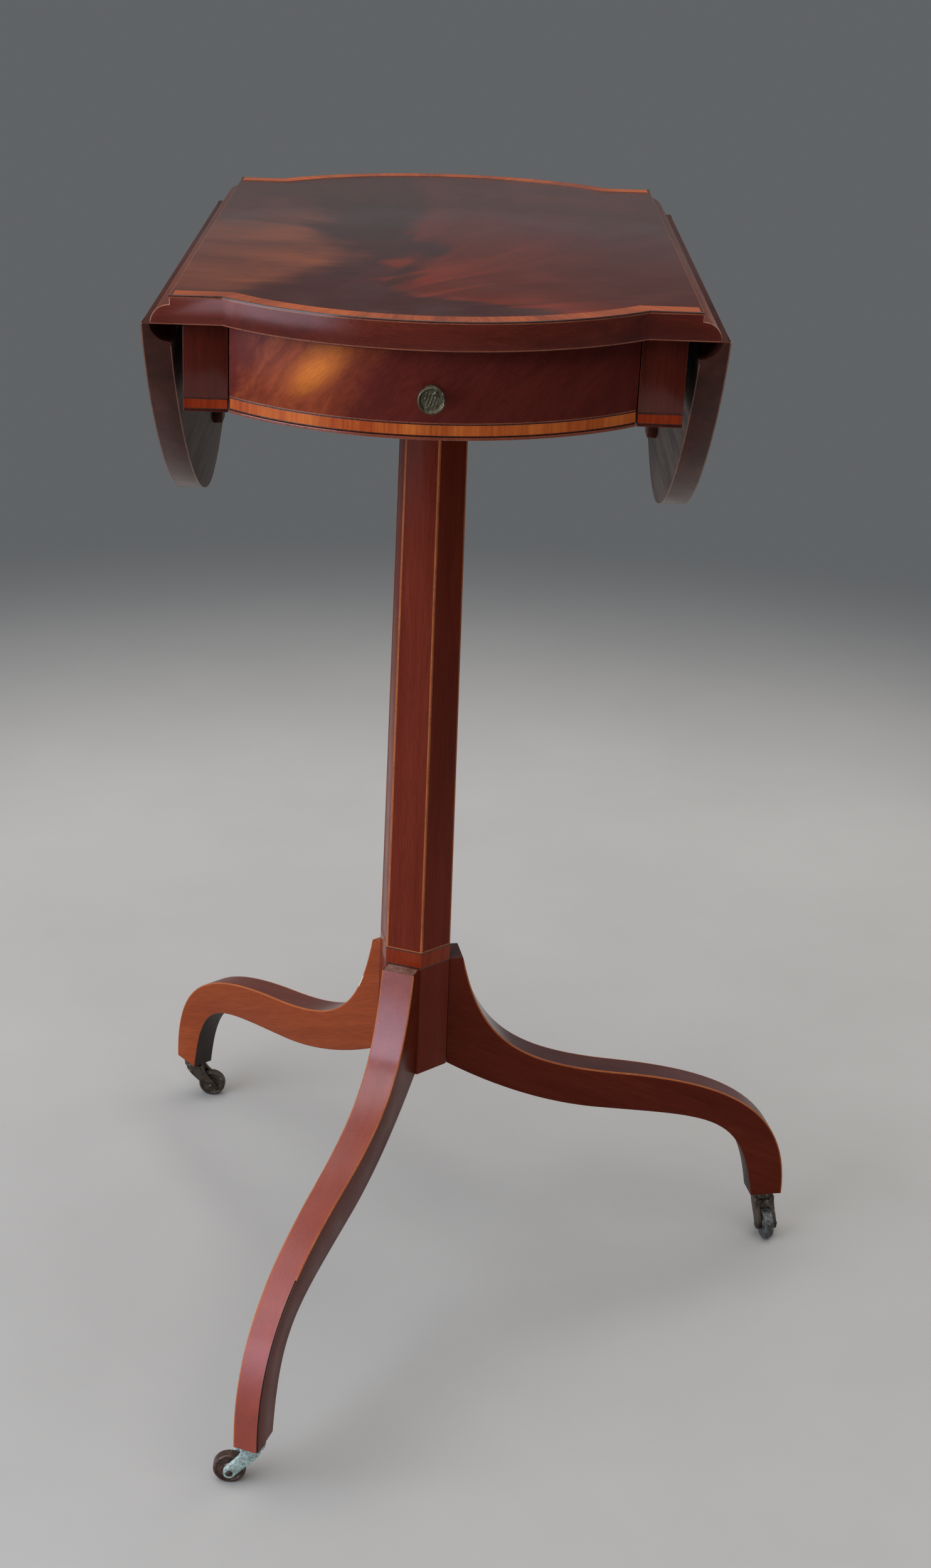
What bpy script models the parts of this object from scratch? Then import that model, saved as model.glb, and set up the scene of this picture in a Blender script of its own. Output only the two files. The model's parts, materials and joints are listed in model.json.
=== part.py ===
"""A drop-leaf candlestand in mahogany and flame veneer.

A top board with bowed front and back edges carries two D-shaped leaves on rule
joints. Under it are a shallow case with a bow-fronted drawer, a tapering
hexagonal column and three cyma-curved legs on swivelling casters.

Metres, +Z up. The drawer faces -Y. Everything is placed from the column's axis,
and the empty that carries it all then moves the stand so that the middle of its
bounding box stands on the origin. The two leaves hang down, as at rest.
"""

import math

import bmesh
import bpy
from mathutils import Euler, Vector, geometry

# Fits that every piece shares
GAP = 0.0003
OVERRUN = 0.004
WELD = 0.00001

# Top board: width is between the joint lines, depth is over the ears
TOP_HEIGHT = 0.700
TOP_WIDTH = 0.2668
TOP_DEPTH = 0.386
TOP_THICKNESS = 0.0147
EAR_WIDTH = 0.0267
TOP_BOW = 0.0415

# Rule joint: quarter-round on the board, cove on the leaf, one axis for both
OVOLO_RADIUS = 0.0100
JOINT_CLEARANCE = 0.0005

# Leaves: a corner just inside the board's ear, and a D-shaped edge below it
LEAF_DROP = 0.1355
LEAF_CORNER_INSET = 0.002
LEAF_SHOULDER_SHARES = (0.37, 0.895)
LEAF_NOSE_SHARE = 0.395

# Hinges of the rule joints, let in flush with the undersides, inset from the ears
HINGE_INSET = 0.068
HINGE_WIDTH = 0.024
FLAP_THICKNESS = 0.0015
BOARD_FLAP_LENGTH = 0.022
LEAF_FLAP_LENGTH = 0.030
KNUCKLE_RADIUS = 0.0025
KNUCKLE_LENGTH = 0.008
HINGE_PIN_RADIUS = 0.0008

# Leaf supports: a bracket in each case side, and a block on each leaf that stops it
BRACKET_LENGTH = 0.105
BRACKET_THICKNESS = 0.009
BRACKET_HEIGHT = 0.030
BRACKET_TIP_SHARE = 0.4
BRACKET_CURVE_SHARES = (0.35, 0.72)
BRACKET_PIN_RADIUS = 0.0015
BRACKET_PIN_DEPTH = 0.005
STOP_LENGTH = 0.016
STOP_HEIGHT = 0.015
STOP_THICKNESS = 0.006
STOP_DROP = 0.0945
STOP_PLACE = 0.014

# Case: its sides stand inside the joint lines, its stiles reach just past the bow's ends
CASE_HEIGHT = 0.045
CASE_INSET = 0.0061
STILE_REACH = 0.0025
STILE_THICKNESS = 0.018
STILE_SETBACK = 0.005
SIDE_THICKNESS = 0.016
CASE_BOTTOM_THICKNESS = 0.0067
CASE_BOTTOM_SETBACK = 0.004
BEAD_HEIGHT = 0.0014
BEAD_DEPTH = 0.007

# Bowed front, the same for the drawer and for the fixed panel at the back
FRONT_SETBACK = 0.0058
FRONT_THICKNESS = 0.013
FRONT_LANDING = 0.025
FRONT_END_BLOCK = 0.017
FRONT_HEADROOM = 0.001
FRONT_SIDE_CLEARANCE = 0.0005

# Drawer box
DRAWER_SIDE_INSET = 0.002
DRAWER_SIDE_THICKNESS = 0.007
DRAWER_HEADROOM = 0.004
DRAWER_END_SPACE = 0.020
DRAWER_BACK_THICKNESS = 0.007
DRAWER_BACK_DROP = 0.004
DRAWER_BOTTOM_THICKNESS = 0.004
DRAWER_BOTTOM_RISE = 0.003
DRAWER_GROOVE = 0.003
GUIDE_HEIGHT = 0.010
GUIDE_SETBACK = 0.005
DRAWER_STOP_LENGTH = 0.030
DRAWER_STOP_THICKNESS = 0.008

# Knob in the middle of the drawer's front, and its screw
KNOB_RADIUS = 0.0070
KNOB_LENGTH = 0.0130
KNOB_SHARES = (
    (0.00, 1.00), (0.30, 0.99), (0.55, 0.95), (0.66, 0.90), (0.76, 0.92), (0.90, 0.88),
    (0.99, 0.78), (0.97, 0.70), (0.80, 0.62), (0.52, 0.52), (0.42, 0.38), (0.46, 0.22),
    (0.70, 0.13), (0.74, 0.06), (0.70, 0.00),
)
SCREW_RADIUS = 0.0018
SCREW_GRIP = 0.007
SCREW_HEAD_RADIUS = 0.004
SCREW_HEAD_THICKNESS = 0.002

# Bearer under the case, which takes the column's tenon
BEARER_LENGTH = 0.180
BEARER_WIDTH = 0.070
BEARER_THICKNESS = 0.018
BEARER_CHAMFER = 0.014
TENON_RADIUS = 0.011
TENON_END_GAP = 0.001

# Hexagonal column, measured from its axis to an arris
COLUMN_FOOT = 0.1552
COLUMN_FOOT_RADIUS = 0.0250
COLUMN_TOP_RADIUS = 0.0213
COLUMN_TURN = math.radians(11)

# Legs: handles of the cyma curves are shares of the reach and of the top's height
LEG_TOP = 0.2333
LEG_REACH = 0.269
LEG_SHOULDER = 0.0095
LEG_WIDTH = 0.0222
FOOT_WIDTH = 0.0160
FOOT_LENGTH = 0.0225
LEG_UPPER_SHARES = ((0.165, 0.739), (0.255, 0.647), (0.528, 0.593), (0.842, 0.532), (1.003, 0.424))
LEG_LOWER_SHARES = ((0.167, 0.604), (0.316, 0.510), (0.495, 0.477), (0.798, 0.418), (0.876, 0.421))
LEG_STEPS = 12
TONGUE_DEPTH = 0.010
TONGUE_NECK = 0.008
TONGUE_TAIL = 0.012
TONGUE_ROOT = 0.003
TONGUE_SHOULDER = 0.011

# Casters
CASTER_HEIGHT = 0.0305
CASTER_TRAIL = 0.014
PLATE_RADIUS = 0.0078
PLATE_THICKNESS = 0.0016
STEM_RADIUS = 0.0020
RIVET_RADIUS = 0.0030
RIVET_THICKNESS = 0.0012
YOKE_RADIUS = 0.0075
YOKE_THICKNESS = 0.0022
CHEEK_THICKNESS = 0.0032
CHEEK_LEAD = 0.0050
CHEEK_HEEL = 0.0065
CHEEK_ROOT = 0.0010
CHEEK_BEND_SHARE = 0.35
BOSS_RADIUS = 0.0036
WHEEL_RADIUS = 0.010
WHEEL_WIDTH = 0.0068
WHEEL_CROWN = 0.0012
WHEEL_SIDE_CLEARANCE = 0.0004
WHEEL_DISH = 0.0008
AXLE_RADIUS = 0.0015
AXLE_HEAD_RADIUS = 0.0022
AXLE_HEAD_THICKNESS = 0.0008

# Leg and caster directions about the column, in degrees before its own turn
LEGS = (("right", 0.0), ("left", 120.0), ("front", 240.0))
CASTER_TURNS = {"right": math.radians(-80), "left": math.radians(-4), "front": math.radians(182)}

# Steps of the curves
BOW_STEPS = 24
ROUND_STEPS = 24
PIN_STEPS = 16
QUARTER_STEPS = 8

# Colour, roughness and metallic value
MAHOGANY = ((0.165, 0.045, 0.018), 0.32, 0.0)
FLAME = ((0.230, 0.060, 0.018), 0.25, 0.0)
SECONDARY = ((0.330, 0.200, 0.100), 0.60, 0.0)
BRASS = ((0.340, 0.250, 0.110), 0.42, 1.0)
IRON = ((0.110, 0.100, 0.090), 0.55, 1.0)

# Places that several pieces share
HINGE_X = TOP_WIDTH / 2
HINGE_Z = TOP_HEIGHT - TOP_THICKNESS
BOW_HALF_CHORD = HINGE_X - EAR_WIDTH
BOW_RADIUS = (BOW_HALF_CHORD ** 2 + TOP_BOW ** 2) / (2 * TOP_BOW)
BOW_CENTRE = TOP_DEPTH / 2 + TOP_BOW - BOW_RADIUS
LEAF_HALF_LENGTH = TOP_DEPTH / 2 - LEAF_CORNER_INSET
HINGE_Y = TOP_DEPTH / 2 - HINGE_INSET

CASE_TOP = HINGE_Z - GAP
CASE_FLOOR = CASE_TOP - CASE_HEIGHT
CASE_FRONT = TOP_DEPTH / 2 - STILE_SETBACK
CASE_HALF_WIDTH = HINGE_X - CASE_INSET
CASE_INSIDE = CASE_HALF_WIDTH - SIDE_THICKNESS
STILE_INSIDE = BOW_HALF_CHORD - STILE_REACH
STILE_WIDTH = CASE_HALF_WIDTH - STILE_INSIDE
SIDE_END = CASE_FRONT - STILE_THICKNESS - GAP
DRAWER_FLOOR = CASE_FLOOR + CASE_BOTTOM_THICKNESS + GAP

FRONT_RADIUS = BOW_RADIUS - FRONT_SETBACK
FRONT_INNER_RADIUS = FRONT_RADIUS - FRONT_THICKNESS
FRONT_BACK = TOP_DEPTH / 2 - FRONT_LANDING
FRONT_FOOT = CASE_FLOOR + BEAD_HEIGHT + GAP
FRONT_HEIGHT = CASE_TOP - FRONT_HEADROOM - FRONT_FOOT
FRONT_MIDDLE = FRONT_FOOT + FRONT_HEIGHT / 2
DRAWER_HALF_WIDTH = STILE_INSIDE - FRONT_SIDE_CLEARANCE
DRAWER_OUTSIDE = DRAWER_HALF_WIDTH - DRAWER_SIDE_INSET
DRAWER_INSIDE = DRAWER_OUTSIDE - DRAWER_SIDE_THICKNESS
DRAWER_END = SIDE_END - DRAWER_END_SPACE
DRAWER_SIDE_TOP = CASE_TOP - DRAWER_HEADROOM
DRAWER_BOTTOM_Z = DRAWER_FLOOR + DRAWER_BOTTOM_RISE

BRACKET_TOP = CASE_TOP
POCKET_FLOOR = BRACKET_TOP - BRACKET_HEIGHT - GAP
BRACKET_X = CASE_HALF_WIDTH - BRACKET_THICKNESS / 2

BEARER_TOP = CASE_FLOOR - GAP
COLUMN_TOP = BEARER_TOP - BEARER_THICKNESS - GAP
FOOT_RADIUS = LEG_REACH - FOOT_LENGTH / 2

YOKE_TOP = CASTER_HEIGHT - 2 * GAP - PLATE_THICKNESS
YOKE_FLOOR = YOKE_TOP - YOKE_THICKNESS
CHEEK_INSIDE = WHEEL_WIDTH / 2 + WHEEL_SIDE_CLEARANCE
CHEEK_OUTSIDE = CHEEK_INSIDE + CHEEK_THICKNESS

# Turns of a flat outline: lying, upright across the stand, and upright front to back.
# A rod or a turned piece with the second turn points along -Y.
FLAT = (0.0, 0.0, 0.0)
IN_XZ = (math.pi / 2, 0.0, 0.0)
IN_YZ = (math.pi / 2, 0.0, math.pi / 2)


def collection(name):
    """An empty collection of this name in the scene."""
    old = bpy.data.collections.get(name)
    if old:
        bpy.data.collections.remove(old)
    result = bpy.data.collections.new(name)
    bpy.context.scene.collection.children.link(result)
    return result


for leftover in list(bpy.data.objects):
    bpy.data.objects.remove(leftover, do_unlink=True)
PARTS = collection("candlestand")
CUTTERS = collection("cutters")


def origin(parent):
    """Where a parent lies in the stand's frame. Parents are never turned."""
    place = Vector()
    while parent:
        place += parent.location
        parent = parent.parent
    return place


def pivot(name, place, parent=None):
    """An empty on a joint's axis, or at the stand's own origin."""
    result = bpy.data.objects.new(name, None)
    result.location = Vector(place) - origin(parent)
    result.parent = parent
    PARTS.objects.link(result)
    return result


def put(name, data, place, turn, parent, look):
    """Place an object in the stand's frame, as a part with a look or as a cutter."""
    result = bpy.data.objects.new(name, data)
    result.location = Vector(place) - origin(parent)
    result.rotation_euler = Euler(turn)
    result.parent = parent
    if look is None:
        CUTTERS.objects.link(result)
        result.hide_render = True
        result.display_type = "WIRE"
        return result
    PARTS.objects.link(result)
    finish = bpy.data.materials.new(name)
    finish.use_nodes = True
    shader = finish.node_tree.nodes["Principled BSDF"]
    shader.inputs["Base Color"].default_value = (*look[0], 1.0)
    shader.inputs["Roughness"].default_value = look[1]
    shader.inputs["Metallic"].default_value = look[2]
    if result.data.materials:
        result.material_slots[0].link = "OBJECT"
        result.material_slots[0].material = finish
    else:
        result.data.materials.append(finish)
    return result


def box(name, low, high, parent, look=None):
    """A box between two opposite corners."""
    low, high = Vector(low), Vector(high)
    shape = bmesh.new()
    bmesh.ops.create_cube(shape, size=1.0)
    bmesh.ops.scale(shape, vec=high - low, verts=shape.verts)
    mesh = bpy.data.meshes.new(name)
    shape.to_mesh(mesh)
    shape.free()
    return put(name, mesh, (low + high) / 2, FLAT, parent, look)


def rod(name, radius, length, place, turn, parent, look=None, steps=ROUND_STEPS, end_radius=None):
    """A cylinder, or a cone with an end radius, along its own Z and centred on its place."""
    shape = bmesh.new()
    bmesh.ops.create_cone(
        shape,
        cap_ends=True,
        segments=steps,
        radius1=radius,
        radius2=radius if end_radius is None else end_radius,
        depth=length,
    )
    mesh = bpy.data.meshes.new(name)
    shape.to_mesh(mesh)
    shape.free()
    return put(name, mesh, place, turn, parent, look)


def slab(name, outline, thickness, place, turn, parent, look=None):
    """A flat outline with a thickness, centred on its own plane."""
    curve = bpy.data.curves.new(name, "CURVE")
    curve.dimensions = "2D"
    curve.fill_mode = "BOTH"
    curve.extrude = thickness / 2
    spline = curve.splines.new("POLY")
    spline.points.add(len(outline) - 1)
    for point, (x, y) in zip(spline.points, outline):
        point.co = (x, y, 0.0, 1.0)
    spline.use_cyclic_u = True
    return as_mesh(put(name, curve, place, turn, parent, look))


def turned(name, profile, place, turn, parent, look, steps=ROUND_STEPS, closed=False):
    """A turned piece. The profile of (radius, height) runs down its outer side."""
    ends = [(index, index + 1) for index in range(len(profile) - 1)]
    if closed:
        ends.append((len(profile) - 1, 0))
    mesh = bpy.data.meshes.new(name)
    mesh.from_pydata([(radius, 0.0, height) for radius, height in profile], ends, [])
    result = put(name, mesh, place, turn, parent, look)
    screw = result.modifiers.new("turned", "SCREW")
    screw.steps = steps
    screw.render_steps = steps
    screw.use_merge_vertices = True
    screw.merge_threshold = WELD
    screw.use_smooth_shade = True
    return result


def as_mesh(item):
    """Turn a curve, or an object with modifiers, into a plain mesh object in its place."""
    name, parent, group = item.name, item.parent, item.users_collection[0]
    bpy.context.view_layer.update()
    place = item.matrix_world.copy()
    mesh = bpy.data.meshes.new_from_object(item.evaluated_get(bpy.context.evaluated_depsgraph_get()))
    shape = bmesh.new()
    shape.from_mesh(mesh)
    bmesh.ops.remove_doubles(shape, verts=shape.verts, dist=WELD)
    bmesh.ops.recalc_face_normals(shape, faces=shape.faces)
    shape.to_mesh(mesh)
    shape.free()
    hidden, display = item.hide_render, item.display_type
    bpy.data.objects.remove(item, do_unlink=True)
    result = bpy.data.objects.new(name, mesh)
    mesh.name = name
    group.objects.link(result)
    result.parent = parent
    result.matrix_world = place
    result.hide_render = hidden
    result.display_type = display
    return result


def shaped(item, operation, *tools):
    """Add a Boolean for each tool. A tool works on the parts and isn't one itself."""
    for tool in tools:
        step = item.modifiers.new(tool.name, "BOOLEAN")
        step.operation = operation
        step.solver = "EXACT"
        step.object = tool
    return item


def cut(item, *tools):
    return shaped(item, "DIFFERENCE", *tools)


def joined(item, *tools):
    return shaped(item, "UNION", *tools)


def smooth(item, angle=math.radians(35)):
    """Smooth shading over the round faces, with the arrises left sharp."""
    item.data.shade_smooth()
    item.data.set_sharp_from_angle(angle=angle)
    return item


def arc(centre, radius, start, end, steps):
    """Points of an arc about a centre, from a start angle to an end angle."""
    angles = [start + (end - start) * step / steps for step in range(steps + 1)]
    return [(centre[0] + radius * math.cos(a), centre[1] + radius * math.sin(a)) for a in angles]


def bow(half_width, radius, steps=BOW_STEPS):
    """The bowed front edge at a radius, from left to right."""
    reach = math.asin(half_width / radius)
    return arc((0.0, -BOW_CENTRE), radius, -math.pi / 2 - reach, -math.pi / 2 + reach, steps)


def bend(start, first, second, end, steps):
    """Points of a cubic curve between two points, without the last one."""
    points = geometry.interpolate_bezier(
        Vector((*start, 0.0)), Vector((*first, 0.0)), Vector((*second, 0.0)), Vector((*end, 0.0)), steps + 1
    )
    return [(point.x, point.y) for point in points[:-1]]


def mirrored(outline):
    """An outline turned half round, which puts the front's shape at the back."""
    return [(-x, -y) for x, y in outline]


def side_sign(side):
    return 1 if side == "right" else -1


stand = pivot("stand", (0.0, 0.0, 0.0))


# Top board

def top_board():
    """The bowed plan crossed with a section that has the quarter-rounds."""
    front = bow(BOW_HALF_CHORD, BOW_RADIUS)
    ear = (HINGE_X + OVOLO_RADIUS + OVERRUN, TOP_DEPTH / 2)
    plan = [(-ear[0], -ear[1]), *front, (ear[0], -ear[1])]
    board = slab(
        "top_board",
        plan + mirrored(plan),
        TOP_THICKNESS + 2 * OVERRUN,
        (0.0, 0.0, HINGE_Z + TOP_THICKNESS / 2),
        FLAT,
        stand,
        FLAME,
    )
    ovolo = arc((HINGE_X, 0.0), OVOLO_RADIUS, 0.0, math.pi / 2, QUARTER_STEPS)
    half = [*ovolo, (HINGE_X, TOP_THICKNESS)]
    section = slab(
        "top_section",
        half + [(-x, z) for x, z in reversed(half)],
        TOP_DEPTH + 2 * (TOP_BOW + OVERRUN),
        (0.0, 0.0, HINGE_Z),
        IN_XZ,
        stand,
    )
    return shaped(board, "INTERSECT", section)


board = top_board()


# Leaves, hanging, each on an empty on its rule joint's axis

LEAF_PIVOTS = {
    side: pivot("leaf_axis_" + side, (side_sign(side) * HINGE_X, 0.0, HINGE_Z), stand)
    for side in ("left", "right")
}


def leaf(side):
    """A D-shaped leaf with the cove that closes over the board's quarter-round."""
    sign, axis = side_sign(side), LEAF_PIVOTS[side]
    corner = (LEAF_HALF_LENGTH, -JOINT_CLEARANCE)
    nose = (0.0, -LEAF_DROP)
    down, along = LEAF_SHOULDER_SHARES
    half = bend(
        corner,
        (along * LEAF_HALF_LENGTH, -down * LEAF_DROP),
        (LEAF_NOSE_SHARE * LEAF_HALF_LENGTH, -LEAF_DROP),
        nose,
        BOW_STEPS,
    )
    outline = half + [nose] + [(-y, z) for y, z in reversed(half)]
    middle = sign * (HINGE_X + TOP_THICKNESS / 2)
    result = slab("leaf_" + side, outline, TOP_THICKNESS, (middle, 0.0, HINGE_Z), IN_YZ, axis, MAHOGANY)
    cove = rod(
        "leaf_cove_" + side,
        OVOLO_RADIUS + JOINT_CLEARANCE,
        2 * (LEAF_HALF_LENGTH + OVERRUN),
        (sign * HINGE_X, 0.0, HINGE_Z),
        IN_XZ,
        axis,
        steps=4 * QUARTER_STEPS,
    )
    return cut(result, cove)


LEAVES = {side: leaf(side) for side in ("left", "right")}


# Hinges

def hinge(side, end):
    """A board flap, a leaf flap and a pin, and the recesses that take them."""
    sign, axis = side_sign(side), LEAF_PIVOTS[side]
    label = side + "_" + end
    x, y = sign * HINGE_X, HINGE_Y if end == "back" else -HINGE_Y
    half = HINGE_WIDTH / 2
    middle = KNUCKLE_LENGTH / 2
    clear = KNUCKLE_RADIUS + GAP
    bore = HINGE_PIN_RADIUS + GAP
    knuckle = half - middle - GAP

    plate = [
        (-sign * BOARD_FLAP_LENGTH, -half), (0.0, -half), (0.0, knuckle - half),
        (-sign * clear, knuckle - half), (-sign * clear, half - knuckle),
        (0.0, half - knuckle), (0.0, half), (-sign * BOARD_FLAP_LENGTH, half),
    ]
    board_flap = slab(
        "hinge_board_flap_" + label, plate, FLAP_THICKNESS,
        (x, y, HINGE_Z + FLAP_THICKNESS / 2), FLAT, stand, IRON,
    )
    ends = [
        rod("knuckle_" + label + "_" + word, KNUCKLE_RADIUS, knuckle,
            (x, y + turn * (half - knuckle / 2), HINGE_Z), IN_XZ, stand)
        for word, turn in (("near", -1), ("far", 1))
    ]
    pin_hole = rod("pin_hole_" + label, bore, HINGE_WIDTH + 2 * OVERRUN, (x, y, HINGE_Z), IN_XZ, stand,
                   steps=PIN_STEPS)
    cut(joined(board_flap, *ends), pin_hole)

    strap = [
        (-half, -LEAF_FLAP_LENGTH), (half, -LEAF_FLAP_LENGTH), (half, -clear), (middle, -clear),
        (middle, 0.0), (-middle, 0.0), (-middle, -clear), (-half, -clear),
    ]
    leaf_flap = slab(
        "hinge_leaf_flap_" + label, strap, FLAP_THICKNESS,
        (x + sign * FLAP_THICKNESS / 2, y, HINGE_Z), IN_YZ, axis, IRON,
    )
    centre = rod("knuckle_" + label + "_middle", KNUCKLE_RADIUS, KNUCKLE_LENGTH, (x, y, HINGE_Z), IN_XZ,
                 axis)
    cut(joined(leaf_flap, centre), pin_hole)

    rod("hinge_pin_" + label, HINGE_PIN_RADIUS, HINGE_WIDTH, (x, y, HINGE_Z), IN_XZ, stand, IRON,
        steps=PIN_STEPS)

    reach = half + GAP
    tip = HINGE_X + OVOLO_RADIUS + OVERRUN
    root = HINGE_X - BOARD_FLAP_LENGTH - GAP
    bed = box(
        "board_bed_" + label,
        (min(sign * root, sign * tip), y - reach, HINGE_Z - OVERRUN),
        (max(sign * root, sign * tip), y + reach, HINGE_Z + FLAP_THICKNESS + GAP),
        stand,
    )
    groove = rod("board_groove_" + label, clear, 2 * reach, (x, y, HINGE_Z), IN_XZ, stand)
    cut(board, bed, groove)
    inner, outer = x - sign * OVERRUN, x + sign * (FLAP_THICKNESS + GAP)
    strap_bed = box(
        "leaf_bed_" + label,
        (min(inner, outer), y - reach, HINGE_Z - LEAF_FLAP_LENGTH - GAP),
        (max(inner, outer), y + reach, HINGE_Z),
        axis,
    )
    cut(LEAVES[side], strap_bed)


for hinge_side in ("left", "right"):
    for hinge_end in ("front", "back"):
        hinge(hinge_side, hinge_end)


# Leaf supports and case sides

def case_side(side):
    """A case side with a pocket for its bracket, the bracket, its pin and the leaf's stop."""
    sign = side_sign(side)
    edges = (sign * CASE_INSIDE, sign * CASE_HALF_WIDTH)
    wall = box(
        "case_side_" + side,
        (min(edges), -SIDE_END, CASE_FLOOR),
        (max(edges), SIDE_END, CASE_TOP),
        stand,
        MAHOGANY,
    )
    half = BRACKET_THICKNESS / 2
    edges = (
        sign * (CASE_HALF_WIDTH - BRACKET_THICKNESS - GAP),
        sign * (CASE_HALF_WIDTH + OVERRUN),
    )
    pocket = box(
        "bracket_pocket_" + side,
        (min(edges), -BRACKET_LENGTH - GAP, POCKET_FLOOR),
        (max(edges), half + GAP, CASE_TOP + OVERRUN),
        stand,
    )
    tip = BRACKET_TIP_SHARE * BRACKET_HEIGHT
    near, far = BRACKET_CURVE_SHARES
    under = bend(
        (half, -BRACKET_HEIGHT),
        (-far * BRACKET_LENGTH, -BRACKET_HEIGHT),
        (-near * BRACKET_LENGTH, -tip),
        (-BRACKET_LENGTH, -tip),
        BOW_STEPS,
    )
    bracket = slab(
        "fly_bracket_" + side,
        [(half, 0.0), *under, (-BRACKET_LENGTH, -tip), (-BRACKET_LENGTH, 0.0)],
        BRACKET_THICKNESS,
        (sign * BRACKET_X, 0.0, BRACKET_TOP),
        IN_YZ,
        stand,
        MAHOGANY,
    )
    plan = [
        *arc((0.0, 0.0), half, 0.0, math.pi, QUARTER_STEPS * 2),
        (-half, -BRACKET_LENGTH - OVERRUN),
        (half, -BRACKET_LENGTH - OVERRUN),
    ]
    round_end = slab(
        "bracket_plan_" + side, plan, 2 * (BRACKET_HEIGHT + OVERRUN),
        (sign * BRACKET_X, 0.0, BRACKET_TOP), FLAT, stand,
    )
    pin_foot = POCKET_FLOOR - BRACKET_PIN_DEPTH
    pin_length = BRACKET_TOP - GAP - pin_foot
    pin_hole = rod(
        "bracket_pin_hole_" + side, BRACKET_PIN_RADIUS + GAP, pin_length + GAP + OVERRUN,
        (sign * BRACKET_X, 0.0, pin_foot - GAP + (pin_length + GAP + OVERRUN) / 2), FLAT, stand,
        steps=PIN_STEPS,
    )
    cut(wall, pocket, pin_hole)
    cut(shaped(bracket, "INTERSECT", round_end), pin_hole)
    rod(
        "fly_pin_" + side, BRACKET_PIN_RADIUS, pin_length,
        (sign * BRACKET_X, 0.0, pin_foot + pin_length / 2), FLAT, stand, IRON, steps=PIN_STEPS,
    )
    edges = (sign * (HINGE_X - GAP), sign * (HINGE_X - GAP - STOP_THICKNESS))
    box(
        "leaf_stop_" + side,
        (min(edges), STOP_PLACE - STOP_LENGTH / 2, HINGE_Z - STOP_DROP - STOP_HEIGHT / 2),
        (max(edges), STOP_PLACE + STOP_LENGTH / 2, HINGE_Z - STOP_DROP + STOP_HEIGHT / 2),
        LEAF_PIVOTS[side],
        MAHOGANY,
    )


for case_end in ("left", "right"):
    case_side(case_end)


# Stiles, case bottom and bowed back

def stile(side, end):
    """A corner stile with a half-round bead along its foot."""
    half_bead = BEAD_HEIGHT / 2
    bead = arc((-CASE_FRONT, half_bead), half_bead, -math.pi / 2, -3 * math.pi / 2, QUARTER_STEPS)
    height = CASE_TOP - CASE_FLOOR
    back = STILE_THICKNESS - CASE_FRONT
    outline = [*bead, (-CASE_FRONT, height), (back, height), (back, 0.0)]
    middle = side_sign(side) * (CASE_HALF_WIDTH - STILE_WIDTH / 2)
    if end == "back":
        outline = [(-y, z) for y, z in outline]
    name = "stile_" + end + "_" + side
    return slab(name, outline, STILE_WIDTH, (middle, 0.0, CASE_FLOOR), IN_YZ, stand, MAHOGANY)


for stile_side in ("left", "right"):
    for stile_end in ("front", "back"):
        stile(stile_side, stile_end)


def bowed_front(half_width):
    """Outline of a bowed front: parallel curves, with a square block at each end."""
    block = half_width - FRONT_END_BLOCK
    outside = bow(half_width, FRONT_RADIUS)
    inside = bow(block, FRONT_INNER_RADIUS)
    return [
        *outside, (half_width, -FRONT_BACK), (block, -FRONT_BACK),
        *reversed(inside), (-block, -FRONT_BACK), (-half_width, -FRONT_BACK),
    ]


def bead_strip(half_width):
    """Outline of the bead under a bowed front, which stands out by half its height."""
    outside = bow(half_width, FRONT_RADIUS + BEAD_HEIGHT / 2)
    inside = bow(half_width, FRONT_RADIUS + BEAD_HEIGHT / 2 - BEAD_DEPTH)
    return [*outside, *reversed(inside)]


def half_round(item):
    """Round a bead strip's long edges."""
    rounding = item.modifiers.new("half_round", "BEVEL")
    rounding.width = BEAD_HEIGHT / 2 - GAP
    rounding.segments = 2
    rounding.limit_method = "ANGLE"
    rounding.angle_limit = math.radians(60)
    return item


def case_floor():
    """Outline of the case's bottom, which follows the bowed panel at the back."""
    half_width, end = CASE_INSIDE - GAP, SIDE_END - CASE_BOTTOM_SETBACK
    recess = STILE_INSIDE - FRONT_END_BLOCK - 2 * GAP
    back = mirrored(bow(recess, FRONT_INNER_RADIUS - GAP))
    return [(-half_width, -end), (half_width, -end), (half_width, end), (recess, end), *back, (-recess, end),
            (-half_width, end)]


bead_middle = CASE_FLOOR + BEAD_HEIGHT / 2
back_half_width = STILE_INSIDE - GAP
slab("case_bottom", case_floor(), CASE_BOTTOM_THICKNESS, (0.0, 0.0, CASE_FLOOR + CASE_BOTTOM_THICKNESS / 2),
     FLAT, stand, SECONDARY)
slab("back_panel", mirrored(bowed_front(back_half_width)), FRONT_HEIGHT, (0.0, 0.0, FRONT_MIDDLE), FLAT,
     stand, FLAME)
half_round(slab("back_bead", mirrored(bead_strip(back_half_width)), BEAD_HEIGHT, (0.0, 0.0, bead_middle),
                FLAT, stand, MAHOGANY))


# Drawer, on an empty in the middle of its opening

drawer = pivot("drawer_slide", (0.0, -CASE_FRONT, DRAWER_FLOOR), stand)

drawer_front = slab("drawer_front", bowed_front(DRAWER_HALF_WIDTH), FRONT_HEIGHT, (0.0, 0.0, FRONT_MIDDLE),
                    FLAT, drawer, FLAME)
half_round(slab("drawer_bead", bead_strip(DRAWER_HALF_WIDTH), BEAD_HEIGHT, (0.0, 0.0, bead_middle), FLAT,
                drawer, MAHOGANY))


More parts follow.
